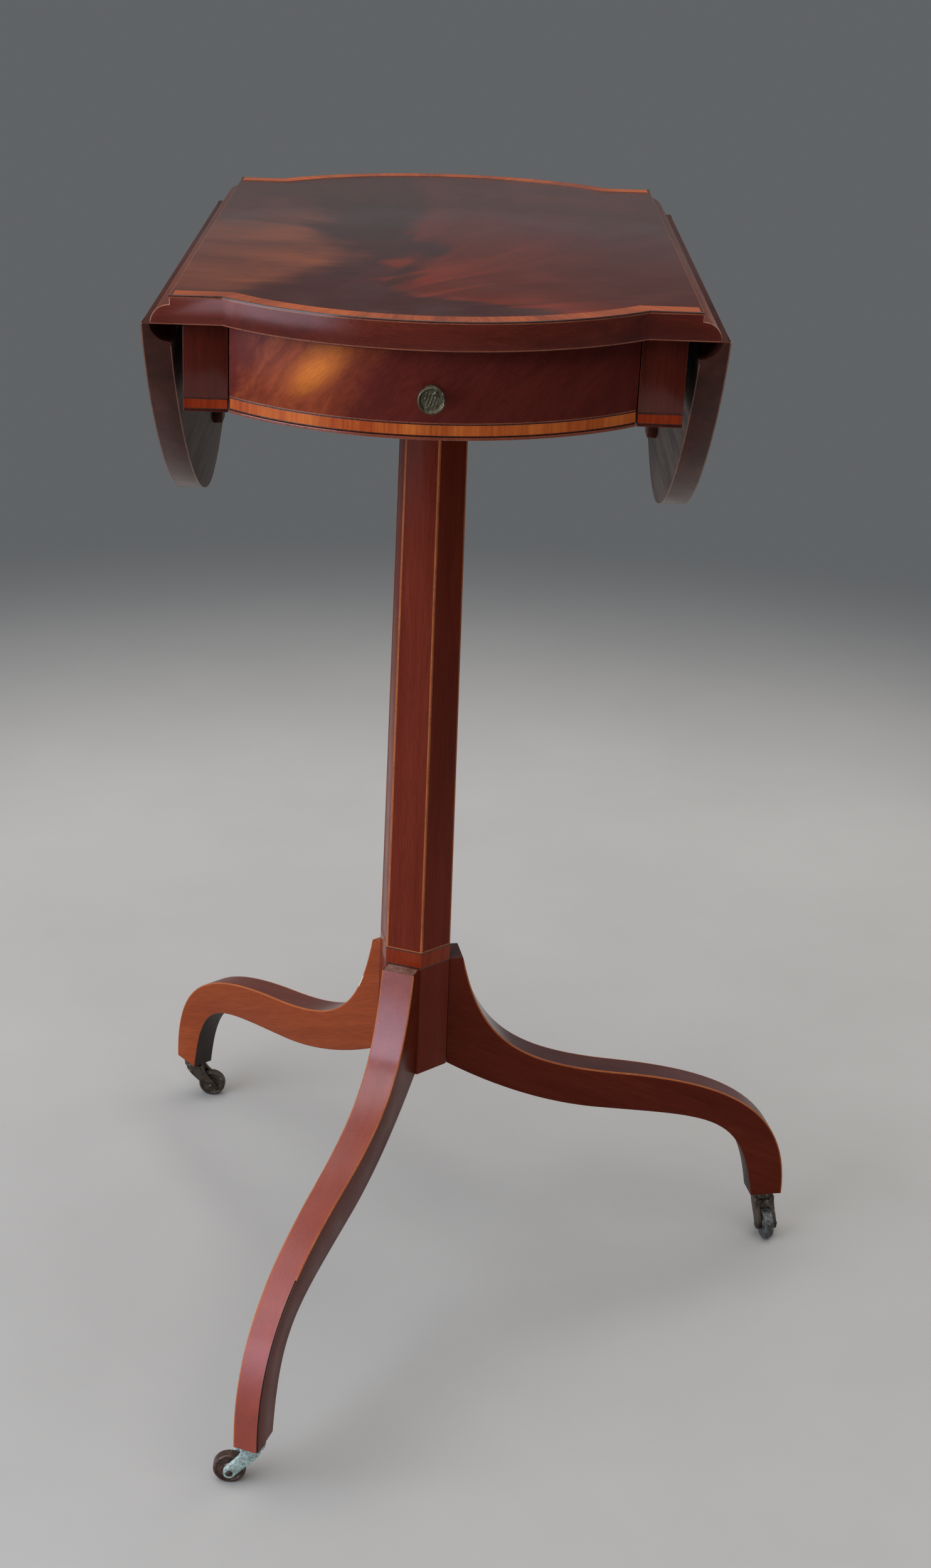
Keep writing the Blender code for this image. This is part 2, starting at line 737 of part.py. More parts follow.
def drawer_floor(grow):
    """Outline of the drawer's bottom, let into the grooves, or of the grooves."""
    half_width = DRAWER_INSIDE + DRAWER_GROOVE - GAP + grow
    end = DRAWER_END + (OVERRUN if grow else 0.0)
    front = bow(half_width, FRONT_INNER_RADIUS + DRAWER_GROOVE - GAP + grow)
    return [*front, (half_width, end), (-half_width, end)]


bottom_middle = (0.0, 0.0, DRAWER_BOTTOM_Z + DRAWER_BOTTOM_THICKNESS / 2)
slab("drawer_bottom", drawer_floor(0.0), DRAWER_BOTTOM_THICKNESS, bottom_middle, FLAT, drawer, SECONDARY)
drawer_groove = slab("drawer_groove", drawer_floor(GAP), DRAWER_BOTTOM_THICKNESS + 2 * GAP, bottom_middle,
                     FLAT, drawer)

for drawer_side in ("left", "right"):
    side_edges = [side_sign(drawer_side) * edge for edge in (DRAWER_INSIDE, DRAWER_OUTSIDE)]
    drawer_wall = box(
        "drawer_side_" + drawer_side,
        (min(side_edges), GAP - FRONT_BACK, DRAWER_FLOOR),
        (max(side_edges), DRAWER_END, DRAWER_SIDE_TOP),
        drawer,
        SECONDARY,
    )
    cut(drawer_wall, drawer_groove)
    guide_edges = [side_sign(drawer_side) * edge for edge in (DRAWER_OUTSIDE + GAP, CASE_INSIDE - GAP)]
    box(
        "drawer_guide_" + drawer_side,
        (min(guide_edges), GUIDE_SETBACK - SIDE_END, DRAWER_FLOOR),
        (max(guide_edges), SIDE_END - GUIDE_SETBACK, DRAWER_FLOOR + GUIDE_HEIGHT),
        stand,
        SECONDARY,
    )

box(
    "drawer_back",
    (GAP - DRAWER_INSIDE, DRAWER_END - DRAWER_BACK_THICKNESS,
     DRAWER_BOTTOM_Z + DRAWER_BOTTOM_THICKNESS + GAP),
    (DRAWER_INSIDE - GAP, DRAWER_END, DRAWER_SIDE_TOP - DRAWER_BACK_DROP),
    drawer,
    SECONDARY,
)
box(
    "drawer_stop",
    (-DRAWER_STOP_LENGTH / 2, DRAWER_END + GAP, DRAWER_FLOOR),
    (DRAWER_STOP_LENGTH / 2, DRAWER_END + GAP + DRAWER_STOP_THICKNESS, DRAWER_FLOOR + DRAWER_STOP_THICKNESS),
    stand,
    SECONDARY,
)


# Knob and screw

face = -(BOW_CENTRE + FRONT_RADIUS)
inner_face = -(BOW_CENTRE + FRONT_INNER_RADIUS)
screw_bore = SCREW_RADIUS + GAP
knob_profile = [(across * KNOB_RADIUS, out * KNOB_LENGTH) for across, out in KNOB_SHARES]
knob_bore = [(screw_bore, 0.0), (screw_bore, SCREW_GRIP + GAP), (0.0, SCREW_GRIP + GAP)]
turned("drawer_knob", knob_profile + knob_bore, (0.0, face - GAP, FRONT_MIDDLE), IN_XZ, drawer, BRASS)
screw_reach = SCREW_GRIP + FRONT_THICKNESS + GAP
turned(
    "knob_screw",
    [
        (0.0, screw_reach), (SCREW_RADIUS, screw_reach), (SCREW_RADIUS, 0.0), (SCREW_HEAD_RADIUS, 0.0),
        (SCREW_HEAD_RADIUS, -SCREW_HEAD_THICKNESS / 2), (SCREW_HEAD_RADIUS / 2, -SCREW_HEAD_THICKNESS),
        (0.0, -SCREW_HEAD_THICKNESS),
    ],
    (0.0, inner_face + GAP, FRONT_MIDDLE),
    IN_XZ,
    drawer,
    IRON,
    steps=PIN_STEPS,
)
screw_hole_middle = (0.0, (face + inner_face) / 2, FRONT_MIDDLE)
screw_hole = rod("screw_hole", screw_bore, FRONT_THICKNESS + 2 * OVERRUN, screw_hole_middle, IN_XZ,
                 drawer, steps=PIN_STEPS)
cut(drawer_front, drawer_groove, screw_hole)


# Bearer and column

bearer_half = BEARER_LENGTH / 2
bearer = slab(
    "column_bearer",
    [
        (-bearer_half, 0.0), (BEARER_CHAMFER - bearer_half, -BEARER_THICKNESS),
        (bearer_half - BEARER_CHAMFER, -BEARER_THICKNESS), (bearer_half, 0.0),
    ],
    BEARER_WIDTH,
    (0.0, 0.0, BEARER_TOP),
    IN_XZ,
    stand,
    MAHOGANY,
)
cut(bearer, rod("tenon_hole", TENON_RADIUS + GAP, 2 * (BEARER_THICKNESS + OVERRUN), (0.0, 0.0, BEARER_TOP),
                FLAT, stand))

column_length = COLUMN_TOP - COLUMN_FOOT
column = rod(
    "column", COLUMN_FOOT_RADIUS, column_length, (0.0, 0.0, COLUMN_FOOT + column_length / 2),
    (0.0, 0.0, COLUMN_TURN), stand, MAHOGANY, steps=6, end_radius=COLUMN_TOP_RADIUS,
)
tenon_top = BEARER_TOP - TENON_END_GAP
tenon_foot = COLUMN_TOP - OVERRUN
joined(column, rod("tenon", TENON_RADIUS, tenon_top - tenon_foot, (0.0, 0.0, (tenon_top + tenon_foot) / 2),
                   FLAT, stand))


def column_face(height):
    """Distance of the column's flat faces from its axis at a height."""
    share = (height - COLUMN_FOOT) / column_length
    arris = COLUMN_FOOT_RADIUS + (COLUMN_TOP_RADIUS - COLUMN_FOOT_RADIUS) * share
    return arris * math.cos(math.pi / 6)


# Legs

def dovetail(grow, root):
    """Plan of a leg's tongue, or of its socket with some growth."""
    face_x = column_face(COLUMN_FOOT)
    neck, tail = TONGUE_NECK / 2 + grow, TONGUE_TAIL / 2 + grow
    end = face_x - TONGUE_DEPTH - grow
    return [(end, -tail), (face_x, -neck), (face_x + root, -neck), (face_x + root, neck), (face_x, neck),
            (end, tail)]


def leg(name, turn):
    """A cyma-curved leg that narrows to its foot, dovetailed into the column."""
    def at(shares):
        return (shares[0] * LEG_REACH, shares[1] * LEG_TOP)

    shoulder = (column_face(LEG_TOP) + GAP + LEG_SHOULDER, LEG_TOP)
    toe, heel = (LEG_REACH, CASTER_HEIGHT), (LEG_REACH - FOOT_LENGTH, CASTER_HEIGHT)
    inner_foot = (column_face(COLUMN_FOOT) + GAP, COLUMN_FOOT)
    upper = [at(shares) for shares in LEG_UPPER_SHARES]
    lower = [at(shares) for shares in LEG_LOWER_SHARES]
    outline = [
        (column_face(LEG_TOP) + GAP, LEG_TOP),
        *bend(shoulder, *upper[:3], LEG_STEPS),
        *bend(*upper[2:], toe, LEG_STEPS),
        toe,
        *reversed(bend(*lower[2:], heel, LEG_STEPS) + [heel]),
        *reversed(bend(inner_foot, *lower[:3], LEG_STEPS)),
    ]
    result = slab("leg_" + name, outline, LEG_WIDTH, (0.0, 0.0, 0.0), (math.pi / 2, 0.0, turn), stand,
                  MAHOGANY)
    start = inner_foot[0]
    for vertex in result.data.vertices:
        share = (vertex.co.x - start) / (LEG_REACH - start)
        vertex.co.z *= (LEG_WIDTH + (FOOT_WIDTH - LEG_WIDTH) * share) / LEG_WIDTH
    tongue_foot, tongue_top = COLUMN_FOOT + GAP, LEG_TOP - TONGUE_SHOULDER
    tongue = slab(
        "tongue_" + name, dovetail(0.0, TONGUE_ROOT), tongue_top - tongue_foot,
        (0.0, 0.0, (tongue_top + tongue_foot) / 2), (0.0, 0.0, turn), stand,
    )
    joined(result, tongue)
    socket_foot, socket_top = COLUMN_FOOT - OVERRUN, tongue_top + GAP
    socket = slab(
        "socket_" + name, dovetail(GAP, OVERRUN), socket_top - socket_foot,
        (0.0, 0.0, (socket_top + socket_foot) / 2), (0.0, 0.0, turn), stand,
    )
    cut(column, socket)
    return result


# Casters

def cheek_outline():
    """Side view of a yoke's cheek, from the swivel's axis to the boss round the axle."""
    top = YOKE_FLOOR + CHEEK_ROOT
    boss = (CASTER_TRAIL, WHEEL_RADIUS)
    low, high = math.radians(215), math.radians(395)
    rim = arc(boss, BOSS_RADIUS, low, high, 2 * QUARTER_STEPS)
    pull = CHEEK_BEND_SHARE * (top - WHEEL_RADIUS)
    lead, heel = (-CHEEK_LEAD, top), (CHEEK_HEEL, top)

    def risen(point):
        return (point[0] - math.sin(high) * pull, point[1] + math.cos(high) * pull)

    leading = bend(lead, (lead[0], top - pull), risen(rim[0]), rim[0], QUARTER_STEPS)
    trailing = bend(rim[-1], risen(rim[-1]), (heel[0], top - pull), heel, QUARTER_STEPS)
    return [*leading, *rim[:-1], *trailing, heel]


def caster(name, leg_turn, swivel_turn):
    """A plate with its stem, a yoke that swivels on it, an axle and a wheel."""
    foot = (FOOT_RADIUS * math.cos(leg_turn), FOOT_RADIUS * math.sin(leg_turn), 0.0)
    plate_top, plate_floor = CASTER_HEIGHT - GAP, YOKE_TOP + GAP
    head_top = YOKE_FLOOR - GAP
    turned(
        "caster_plate_" + name,
        [
            (0.0, plate_top), (PLATE_RADIUS, plate_top), (PLATE_RADIUS, plate_floor),
            (STEM_RADIUS, plate_floor), (STEM_RADIUS, head_top), (RIVET_RADIUS, head_top),
            (RIVET_RADIUS / 2, head_top - RIVET_THICKNESS), (0.0, head_top - RIVET_THICKNESS),
        ],
        foot, FLAT, stand, BRASS,
    )

    swivel = pivot("caster_swivel_" + name, foot, stand)
    upright = (math.pi / 2, 0.0, swivel_turn)
    sideways = (math.sin(swivel_turn), -math.cos(swivel_turn))
    hub = (
        foot[0] + CASTER_TRAIL * math.cos(swivel_turn),
        foot[1] + CASTER_TRAIL * math.sin(swivel_turn),
        WHEEL_RADIUS,
    )
    yoke = rod(
        "caster_yoke_" + name, YOKE_RADIUS, YOKE_THICKNESS,
        (foot[0], foot[1], YOKE_TOP - YOKE_THICKNESS / 2), FLAT, swivel, BRASS,
    )
    for word, sign in (("near", 1), ("far", -1)):
        offset = sign * (CHEEK_INSIDE + CHEEK_THICKNESS / 2)
        place = (foot[0] + offset * sideways[0], foot[1] + offset * sideways[1], 0.0)
        cheek = slab("cheek_" + name + "_" + word, cheek_outline(), CHEEK_THICKNESS, place, upright, swivel)
        joined(yoke, cheek)
    stem_hole = rod("stem_hole_" + name, STEM_RADIUS + GAP, YOKE_THICKNESS + 2 * OVERRUN,
                    (foot[0], foot[1], YOKE_FLOOR), FLAT, swivel, steps=PIN_STEPS)
    axle_hole = rod("axle_hole_" + name, AXLE_RADIUS + GAP, 2 * (CHEEK_OUTSIDE + OVERRUN), hub, upright,
                    swivel, steps=PIN_STEPS)
    cut(yoke, stem_hole, axle_hole)

    shank = CHEEK_OUTSIDE + GAP
    turned(
        "caster_axle_" + name,
        [
            (0.0, shank + AXLE_HEAD_THICKNESS), (AXLE_HEAD_RADIUS / 2, shank + AXLE_HEAD_THICKNESS),
            (AXLE_HEAD_RADIUS, shank), (AXLE_RADIUS, shank), (AXLE_RADIUS, -shank),
            (AXLE_HEAD_RADIUS, -shank), (AXLE_HEAD_RADIUS / 2, -shank - AXLE_HEAD_THICKNESS),
            (0.0, -shank - AXLE_HEAD_THICKNESS),
        ],
        hub, upright, swivel, BRASS, steps=PIN_STEPS,
    )

    spin = pivot("caster_axle_line_" + name, hub, swivel)
    half = WHEEL_WIDTH / 2
    bore = AXLE_RADIUS + GAP
    shoulder = WHEEL_RADIUS - WHEEL_CROWN
    dish = half - WHEEL_DISH
    wheel_profile = [
        (bore, half), (BOSS_RADIUS, half), (BOSS_RADIUS, dish), (shoulder - WHEEL_CROWN, dish),
        (shoulder, half), (WHEEL_RADIUS, half - WHEEL_CROWN), (WHEEL_RADIUS, WHEEL_CROWN - half),
        (shoulder, -half), (shoulder - WHEEL_CROWN, -dish), (BOSS_RADIUS, -dish), (BOSS_RADIUS, -half),
        (bore, -half),
    ]
    turned("caster_wheel_" + name, wheel_profile, hub, upright, spin, BRASS, closed=True)


for leg_name, direction in LEGS:
    around = COLUMN_TURN + math.radians(direction)
    leg(leg_name, around)
    caster(leg_name, around, CASTER_TURNS[leg_name])


# Shading, and the stand moved so that its bounding box's middle stands on the origin

for part in PARTS.objects:
    if part.type == "MESH":
        smooth(part)

bpy.context.view_layer.update()
evaluated = bpy.context.evaluated_depsgraph_get()
corners = [
    part.matrix_world @ Vector(corner)
    for part in PARTS.objects
    if part.type == "MESH"
    for corner in part.evaluated_get(evaluated).bound_box
]
lows = [min(corner[axis] for corner in corners) for axis in range(3)]
highs = [max(corner[axis] for corner in corners) for axis in range(3)]
stand.location = (-(lows[0] + highs[0]) / 2, -(lows[1] + highs[1]) / 2, -lows[2])
bpy.context.view_layer.update()
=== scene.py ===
"""Looks of a drop-leaf candlestand: veneers, crossbands, stringing, brass casters.

Metres, +Z up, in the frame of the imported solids. The drawer faces -Y.
"""

import json
from contextlib import contextmanager
from itertools import accumulate
from math import asin, atan2, cos, exp, hypot, pi, radians, sin, sqrt

import bmesh
import bpy
from mathutils import Matrix, Vector, geometry


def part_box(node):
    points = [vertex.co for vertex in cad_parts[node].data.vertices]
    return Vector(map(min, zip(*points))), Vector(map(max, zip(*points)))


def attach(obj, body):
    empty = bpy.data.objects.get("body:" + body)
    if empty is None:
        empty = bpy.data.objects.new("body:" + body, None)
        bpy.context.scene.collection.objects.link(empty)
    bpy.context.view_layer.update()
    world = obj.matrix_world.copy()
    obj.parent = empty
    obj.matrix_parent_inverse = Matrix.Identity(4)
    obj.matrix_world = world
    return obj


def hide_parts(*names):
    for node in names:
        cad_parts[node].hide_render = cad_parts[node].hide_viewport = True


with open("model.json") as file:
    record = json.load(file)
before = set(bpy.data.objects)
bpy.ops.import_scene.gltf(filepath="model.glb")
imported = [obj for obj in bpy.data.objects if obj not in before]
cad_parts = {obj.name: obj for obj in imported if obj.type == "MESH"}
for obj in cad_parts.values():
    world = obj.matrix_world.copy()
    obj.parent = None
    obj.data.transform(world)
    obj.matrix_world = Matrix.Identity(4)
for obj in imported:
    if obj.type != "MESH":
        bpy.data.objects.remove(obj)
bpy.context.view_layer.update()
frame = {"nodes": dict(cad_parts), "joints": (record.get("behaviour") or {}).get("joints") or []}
NODES = frame["nodes"]
JOINTS = {joint["name"]: joint for joint in frame["joints"]}
SCENE = bpy.context.scene

# Main sizes, the same as in the solids
TOP_HEIGHT = 0.7
TOP_WIDTH = 0.2668
TOP_DEPTH = 0.386
TOP_THICKNESS = 0.0147
EAR_WIDTH = 0.0267
TOP_BOW = 0.0415
OVOLO_RADIUS = 0.01
JOINT_CLEARANCE = 0.0005
LEAF_DROP = 0.1355
LEAF_CORNER_INSET = 0.002
LEAF_SHOULDER_SHARES = (0.37, 0.895)
LEAF_NOSE_SHARE = 0.395
STOP_PLACE = 0.014
STOP_FOOT = 0.102
BEAD_HEIGHT = 0.0014
FRONT_SETBACK = 0.0058
DRAWER_MIDDLE = 0.6655
KNOB_RADIUS = 0.007
KNOB_LENGTH = 0.013
COLUMN_FOOT = 0.1552
COLUMN_FOOT_RADIUS = 0.025
COLUMN_TOP_RADIUS = 0.0213
COLUMN_TURN = radians(11)
LEG_TOP = 0.2333
LEG_REACH = 0.269
LEG_SHOULDER = 0.0095
LEG_WIDTH = 0.0222
FOOT_WIDTH = 0.016
FOOT_LENGTH = 0.0225
CASTER_HEIGHT = 0.0305
LEG_UPPER_SHARES = ((0.165, 0.739), (0.255, 0.647), (0.528, 0.593), (0.842, 0.532), (1.003, 0.424))
LEG_LOWER_SHARES = ((0.167, 0.604), (0.316, 0.51), (0.495, 0.477), (0.798, 0.418), (0.876, 0.421))
TONGUE_DEPTH = 0.01
TONGUE_NECK = 0.008
TONGUE_TAIL = 0.012
TONGUE_DROP = 0.011
TONGUE_ROOT = 0.003
WHEEL_RADIUS = 0.01
WHEEL_WIDTH = 0.0068
FIT = 0.0003

# Inlay: widths, and how far a strip stands over the ground it is let into and goes down in it
PROUD = 0.00006
SUNK = 0.0004
BAND_WIDTH = 0.0113
DARK_LINE = 0.0009
LIGHT_LINE = 0.0007
RED_LINE = 0.0006
LEAF_STRING = 0.0006
COLUMN_STRING = 0.001
LEG_STRING = 0.0009
COLUMN_BAND = 0.01
COLUMN_BAND_RISE = 0.0012
COLUMN_DARK_LINE = 0.0008
STRIP_GAP = 0.0001
SIDE_STRIP = 0.0018

# How far a piece's arrises are rounded, and from what angle an edge is one or is shaded crisp
SOFT_EDGE = 0.0004
ARRIS_ANGLE = radians(38)
CRISP_ANGLE = radians(32)

# Places worked out from them
low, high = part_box("column")
AXIS = Vector(((low.x + high.x) / 2, (low.y + high.y) / 2, 0.0))
COLUMN_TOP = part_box("column_bearer")[0].z - FIT
HINGE_X = TOP_WIDTH / 2
HINGE_Z = TOP_HEIGHT - TOP_THICKNESS
BOW_HALF_CHORD = HINGE_X - EAR_WIDTH
BOW_RADIUS = (BOW_HALF_CHORD ** 2 + TOP_BOW ** 2) / (2 * TOP_BOW)
BOW_CENTRE = TOP_DEPTH / 2 + TOP_BOW - BOW_RADIUS
FRONT_RADIUS = BOW_RADIUS - FRONT_SETBACK
UP = Vector((0.0, 0.0, 1.0))
X_GRAIN = (1.0, 0.0, 0.0)
Y_GRAIN = (0.0, 1.0, 0.0)
SIDES = (("left", -1), ("right", 1))
ENDS = (("front", -1), ("back", 1))

# Every look by its name
LOOK = {}


# Materials

class Value:
    """A number in a material's nodes, with the usual signs of arithmetic."""

    def __init__(self, paint, socket):
        self.paint = paint
        self.socket = socket

    def __add__(self, other):
        return self.paint.calc("ADD", self, other)

    def __sub__(self, other):
        return self.paint.calc("SUBTRACT", self, other)

    def __mul__(self, other):
        return self.paint.calc("MULTIPLY", self, other)


class Paint:
    """A material, and short ways of adding nodes to it."""

    def __init__(self, name, **values):
        material = LOOK[name] = bpy.data.materials.new(name)
        material.use_nodes = True
        self.tree = material.node_tree
        self.shader = self.tree.nodes["Principled BSDF"]
        self.fill(self.shader, **values)
        self.place = self.node("TexCoord").outputs["Object"]

    def node(self, kind, *inputs, **settings):
        made = self.tree.nodes.new("ShaderNode" + kind)
        for key, value in settings.items():
            setattr(made, key, value)
        for socket, value in zip(made.inputs, inputs):
            self.feed(socket, value)
        return made

    def feed(self, socket, value):
        if isinstance(value, Value):
            value = value.socket
        if isinstance(value, bpy.types.NodeSocket):
            self.tree.links.new(value, socket)
        elif value is not None:
            socket.default_value = value

    def fill(self, made, **values):
        for name, value in values.items():
            self.feed(made.inputs[name.replace("_", " ")], value)

    def calc(self, operation, *inputs):
        return Value(self, self.node("Math", *inputs, operation=operation).outputs[0])

    def lay(self, shift=None, turn=None):
        """Shift and turn the grain, which noise with a scale for each axis follows."""
        self.laid = self.node("Mapping", self.place, shift, turn).outputs[0]

    def parts(self, shift=None):
        """The three numbers of the place that is painted, shifted."""
        spot = self.node("Mapping", self.place, shift).outputs[0]
        return [Value(self, part) for part in self.node("SeparateXYZ", spot).outputs]

    def join(self, x, y, z):
        return self.node("CombineXYZ", x, y, z).outputs[0]

    def reach(self, x, y):
        """The length of a line with two sides at a right angle."""
        return self.calc("SQRT", x * x + y * y)

    def noise(self, scale, detail=4.0, rough=0.5, bend=0.0):
        """Cloudy noise over the place, or over the laid grain where there is a scale for each axis."""
        place = self.place
        if isinstance(scale, tuple):
            place, scale = self.node("Mapping", self.laid, None, None, scale).outputs[0], 1.0
        made = self.node("TexNoise")
        self.fill(made, Vector=place, Scale=scale, Detail=detail, Roughness=rough, Distortion=bend)
        return Value(self, made.outputs[0])

    def span(self, value, low, high, to_low=0.0, to_high=1.0):
        """A value between two levels, smoothly, and level outside them."""
        made = self.node("MapRange", value, low, high, to_low, to_high, interpolation_type="SMOOTHSTEP")
        return Value(self, made.outputs[0])

    def ramp(self, value, *stops):
        made = self.node("ValToRGB", value)
        points = made.color_ramp.elements
        while len(points) < len(stops):
            points.new(0.5)
        for point, (at, colour) in zip(points, stops):
            point.position = at
            point.color = (*colour, 1.0)
        return made.outputs[0]

    def blend(self, share, first, second, mode="MIX"):
        made = self.node("Mix", data_type="RGBA", blend_type=mode)
        for index, value in ((0, share), (6, first), (7, second)):
            if isinstance(value, tuple):
                value = (*value, 1.0)
            self.feed(made.inputs[index], value)
        return made.outputs[2]

    def curve(self, value, *points):
        """A value read off a smooth curve through points, all from 0 to 1."""
        made = self.node("FloatCurve", 1.0, value)
        line = made.mapping.curves[0].points
        while len(line) < len(points):
            line.new(0.5, 0.5)
        for spot, (at, level) in zip(line, points):
            spot.location = (at, level)
        made.mapping.update()
        return Value(self, made.outputs[0])

    def shade(self, colour, lift):
        """A colour made darker or lighter by a value."""
        return self.blend(1.0, colour, self.node("CombineColor", lift, lift, lift).outputs[0], "MULTIPLY")

    def finish(self, colour, rough=None, relief=None, depth=0.0001, strength=0.5):
        self.fill(self.shader, Base_Color=colour, Roughness=rough)
        if relief:
            bump = self.node("Bump")
            self.fill(bump, Strength=strength, Distance=depth, Height=relief)
            self.fill(self.shader, Normal=bump.outputs[0])


def along(grain):
    """Turn that lays a grain direction along X."""
    return tuple(Vector(grain).rotation_difference(Vector(X_GRAIN)).to_euler())


def wood(name, tones, grain, seed, gloss=0.24, coat=0.0, streak=150.0, pores=0.35, polish=True,
         shine=0.3, tint=(1.0, 1.0, 1.0), dull_below=None):
    """Solid or plain-sawn wood: broad tone, streaks and pores along the grain.

    The tones are a dark, a middle and a light one. Below a height where one is given, the polish is
    worn and the colour is made warmer: painted light, which takes the pink of the lamps' reflection out of
    the lower part.
    """
    paint = Paint(name, Roughness=gloss, Coat_Weight=coat, Coat_Roughness=0.12, Specular_IOR_Level=shine,
                  Specular_Tint=(*tint, 1.0))
    paint.lay((seed, seed * 0.7, seed * 1.3), along(grain))
    broad = paint.noise((5.0, 30.0, 30.0), 3.0, bend=0.4)
    streaks = paint.noise((7.0, streak, streak), 5.0, 0.6, 0.3)
    fibre = paint.noise((60.0, 1500.0, 1500.0), 2.0)
    pore = paint.span(paint.noise((130.0, 2600.0, 2600.0), 1.0), 0.6, 0.74)
    colour = paint.ramp(broad * 0.55 + streaks * 0.45, *zip((0.34, 0.5, 0.68), tones))
    colour = paint.shade(colour, paint.span(fibre, 0.3, 0.7, 0.86, 1.08))
    colour = paint.blend(pore * pores, colour, tuple(0.3 * value for value in tones[0]))
    rough = paint.span(paint.noise(45.0, 3.0), 0.3, 0.7, gloss - 0.03, gloss + 0.05)
    if dull_below:
        # Below the height: a rougher, worn polish, and a warmer colour painted in against the lamps' pink
        # reflection
        dull_and_painted_warmth = paint.span(paint.parts()[2], dull_below, dull_below - 0.05)
        rough += dull_and_painted_warmth * 0.2
        colour = paint.blend(dull_and_painted_warmth, colour, (1.06, 0.72, 0.3), "MULTIPLY")
    relief = fibre - pore * (0.2 if polish else 1.0)
    paint.finish(colour, rough, relief, strength=0.08 if polish else 0.8)


def crossband(name, dark, light, centre=None, grain=Y_GRAIN, seed=0.0, gloss=0.24, shine=0.35):
    """Orange veneer with its grain across the band: straight, or towards the bow's centre."""
    paint = Paint(name, Roughness=gloss, Coat_Weight=0.05, Coat_Roughness=0.1, Specular_IOR_Level=shine)
    if centre:
        x, y, z = paint.parts((-centre[0], -centre[1], 0.0))
        turn, reach = paint.calc("ARCTAN2", x, y) * BOW_RADIUS, paint.reach(x, y)
        paint.laid = paint.join(z, turn, reach) if grain[2] else paint.join(reach, turn, z)
    else:
        paint.lay((seed, seed, seed), along(grain))
    broad = paint.noise((6.0, 38.0, 38.0), 2.0)
    fine = paint.noise((30.0, 420.0, 420.0), 5.0, 0.65)
    colour = paint.ramp(broad * 0.5 + fine * 0.5, (0.36, dark), (0.62, light))
    paint.finish(colour, paint.span(broad, 0.3, 0.7, gloss - 0.04, gloss + 0.08), fine, strength=0.12)


def plain(name, dark, light, scale, rough, coat=0.0, metal=0.0, relief=0.2, shine=0.5):
    """One colour family, mottled at a scale."""
    paint = Paint(name, Roughness=rough, Coat_Weight=coat, Metallic=metal, Specular_IOR_Level=shine)
    broad = paint.noise(scale, 5.0, 0.6)
    fine = paint.noise(scale * 9.0, 3.0, 0.6)
    colour = paint.ramp(broad * 0.65 + fine * 0.35, (0.36, dark), (0.62, light))
    paint.finish(colour, paint.span(fine, 0.3, 0.7, rough - 0.08, rough + 0.1), fine, 0.0002, relief)


def flame_top():
    """Crotch veneer of the top: dark smoke down the middle between two flames that fan outwards."""
    paint = Paint("flame_top", Roughness=0.2, Coat_Weight=0.3, Coat_Roughness=0.06, Specular_IOR_Level=0.45)
    blend, span = paint.blend, paint.span
    x, y, _ = paint.parts(tuple(-AXIS))
    # Where each flame ends, as a share of the width, for a share of the depth from front to back
    depth = y * 2.128 + 0.5
    left_edge = paint.curve(
        depth, (0.0, 0.1), (0.13, 0.16), (0.21, 0.24), (0.31, 0.31), (0.365, 0.345), (0.47, 0.265),
        (0.6, 0.235), (0.71, 0.2), (0.8, 0.03), (1.0, 0.0)) * TOP_WIDTH - HINGE_X
    right_edge = paint.curve(
        depth, (0.0, 0.88), (0.1, 0.59), (0.15, 0.42), (0.19, 0.4), (0.25, 0.435), (0.32, 0.415),
        (0.38, 0.48), (0.45, 0.49), (0.52, 0.435), (0.7, 0.45), (1.0, 0.38)) * TOP_WIDTH - HINGE_X
    to_right = paint.calc("GREATER_THAN", x - (left_edge + right_edge) * 0.5, 0.0)
    # Streaks fan out from a point in front of each flame
    fans = []
    for across, behind in ((0.082, 0.25), (-0.24, 0.15)):
        dx, dy = x + across, y + behind
        turn = paint.calc("ARCTAN2", dx, dy) * 0.22
        fans.append(paint.join(paint.reach(dx, dy), turn, across))
    paint.laid = blend(to_right, fans[1], fans[0])
    licks = paint.noise((11.0, 40.0, 1.0), 2.6, bend=0.9)
    fine = paint.noise((26.0, 420.0, 1.0), 4.0, 0.6)
    cloud = paint.noise(26.0, 4.0, 0.6)
    pore = span(paint.noise((170.0, 2300.0, 1.0), 1.0), 0.6, 0.74)
    ragged = (licks - 0.5) * 0.036 + (cloud - 0.5) * 0.04
    on_left, on_right = left_edge - x + ragged, x - right_edge + ragged
    # The flames are brightest beside the smoke in the front half, and die away behind
    front_half = span(y, 0.095, -0.03) * span(y, -0.205, -0.12)
    glow = span(licks, 0.3, 0.7) * front_half * span(on_left, 0.11, 0.02)
    ember = span(licks, 0.38, 0.66) * span(y, 0.09, -0.11) * span(on_right, 0.095, 0.01)
    left = blend(front_half, (0.076, 0.023, 0.015), (0.108, 0.029, 0.017))
    left = blend(glow, left, (0.168, 0.044, 0.018))
    right = blend(span(on_right, 0.03, 0.12), (0.096, 0.014, 0.007), (0.066, 0.014, 0.009))
    right = blend(ember, right, (0.138, 0.017, 0.007))
    right = blend(span(y, 0.03, 0.13), right, (0.09, 0.024, 0.015))
    colour = blend(span(y, 0.06, 0.14), (0.044, 0.012, 0.01), (0.07, 0.021, 0.015))
    colour = blend(span(on_left, -0.01, 0.022), colour, left)
    colour = blend(span(on_right, -0.008, 0.015), colour, right)
    colour = paint.shade(colour, span(fine * 0.4 + licks * 0.6, 0.32, 0.68, 0.83, 1.16))
    colour = blend(pore * 0.3, colour, (0.012, 0.006, 0.004))
    paint.finish(colour, span(paint.noise(30.0), 0.3, 0.7, 0.15, 0.26), fine, strength=0.06)


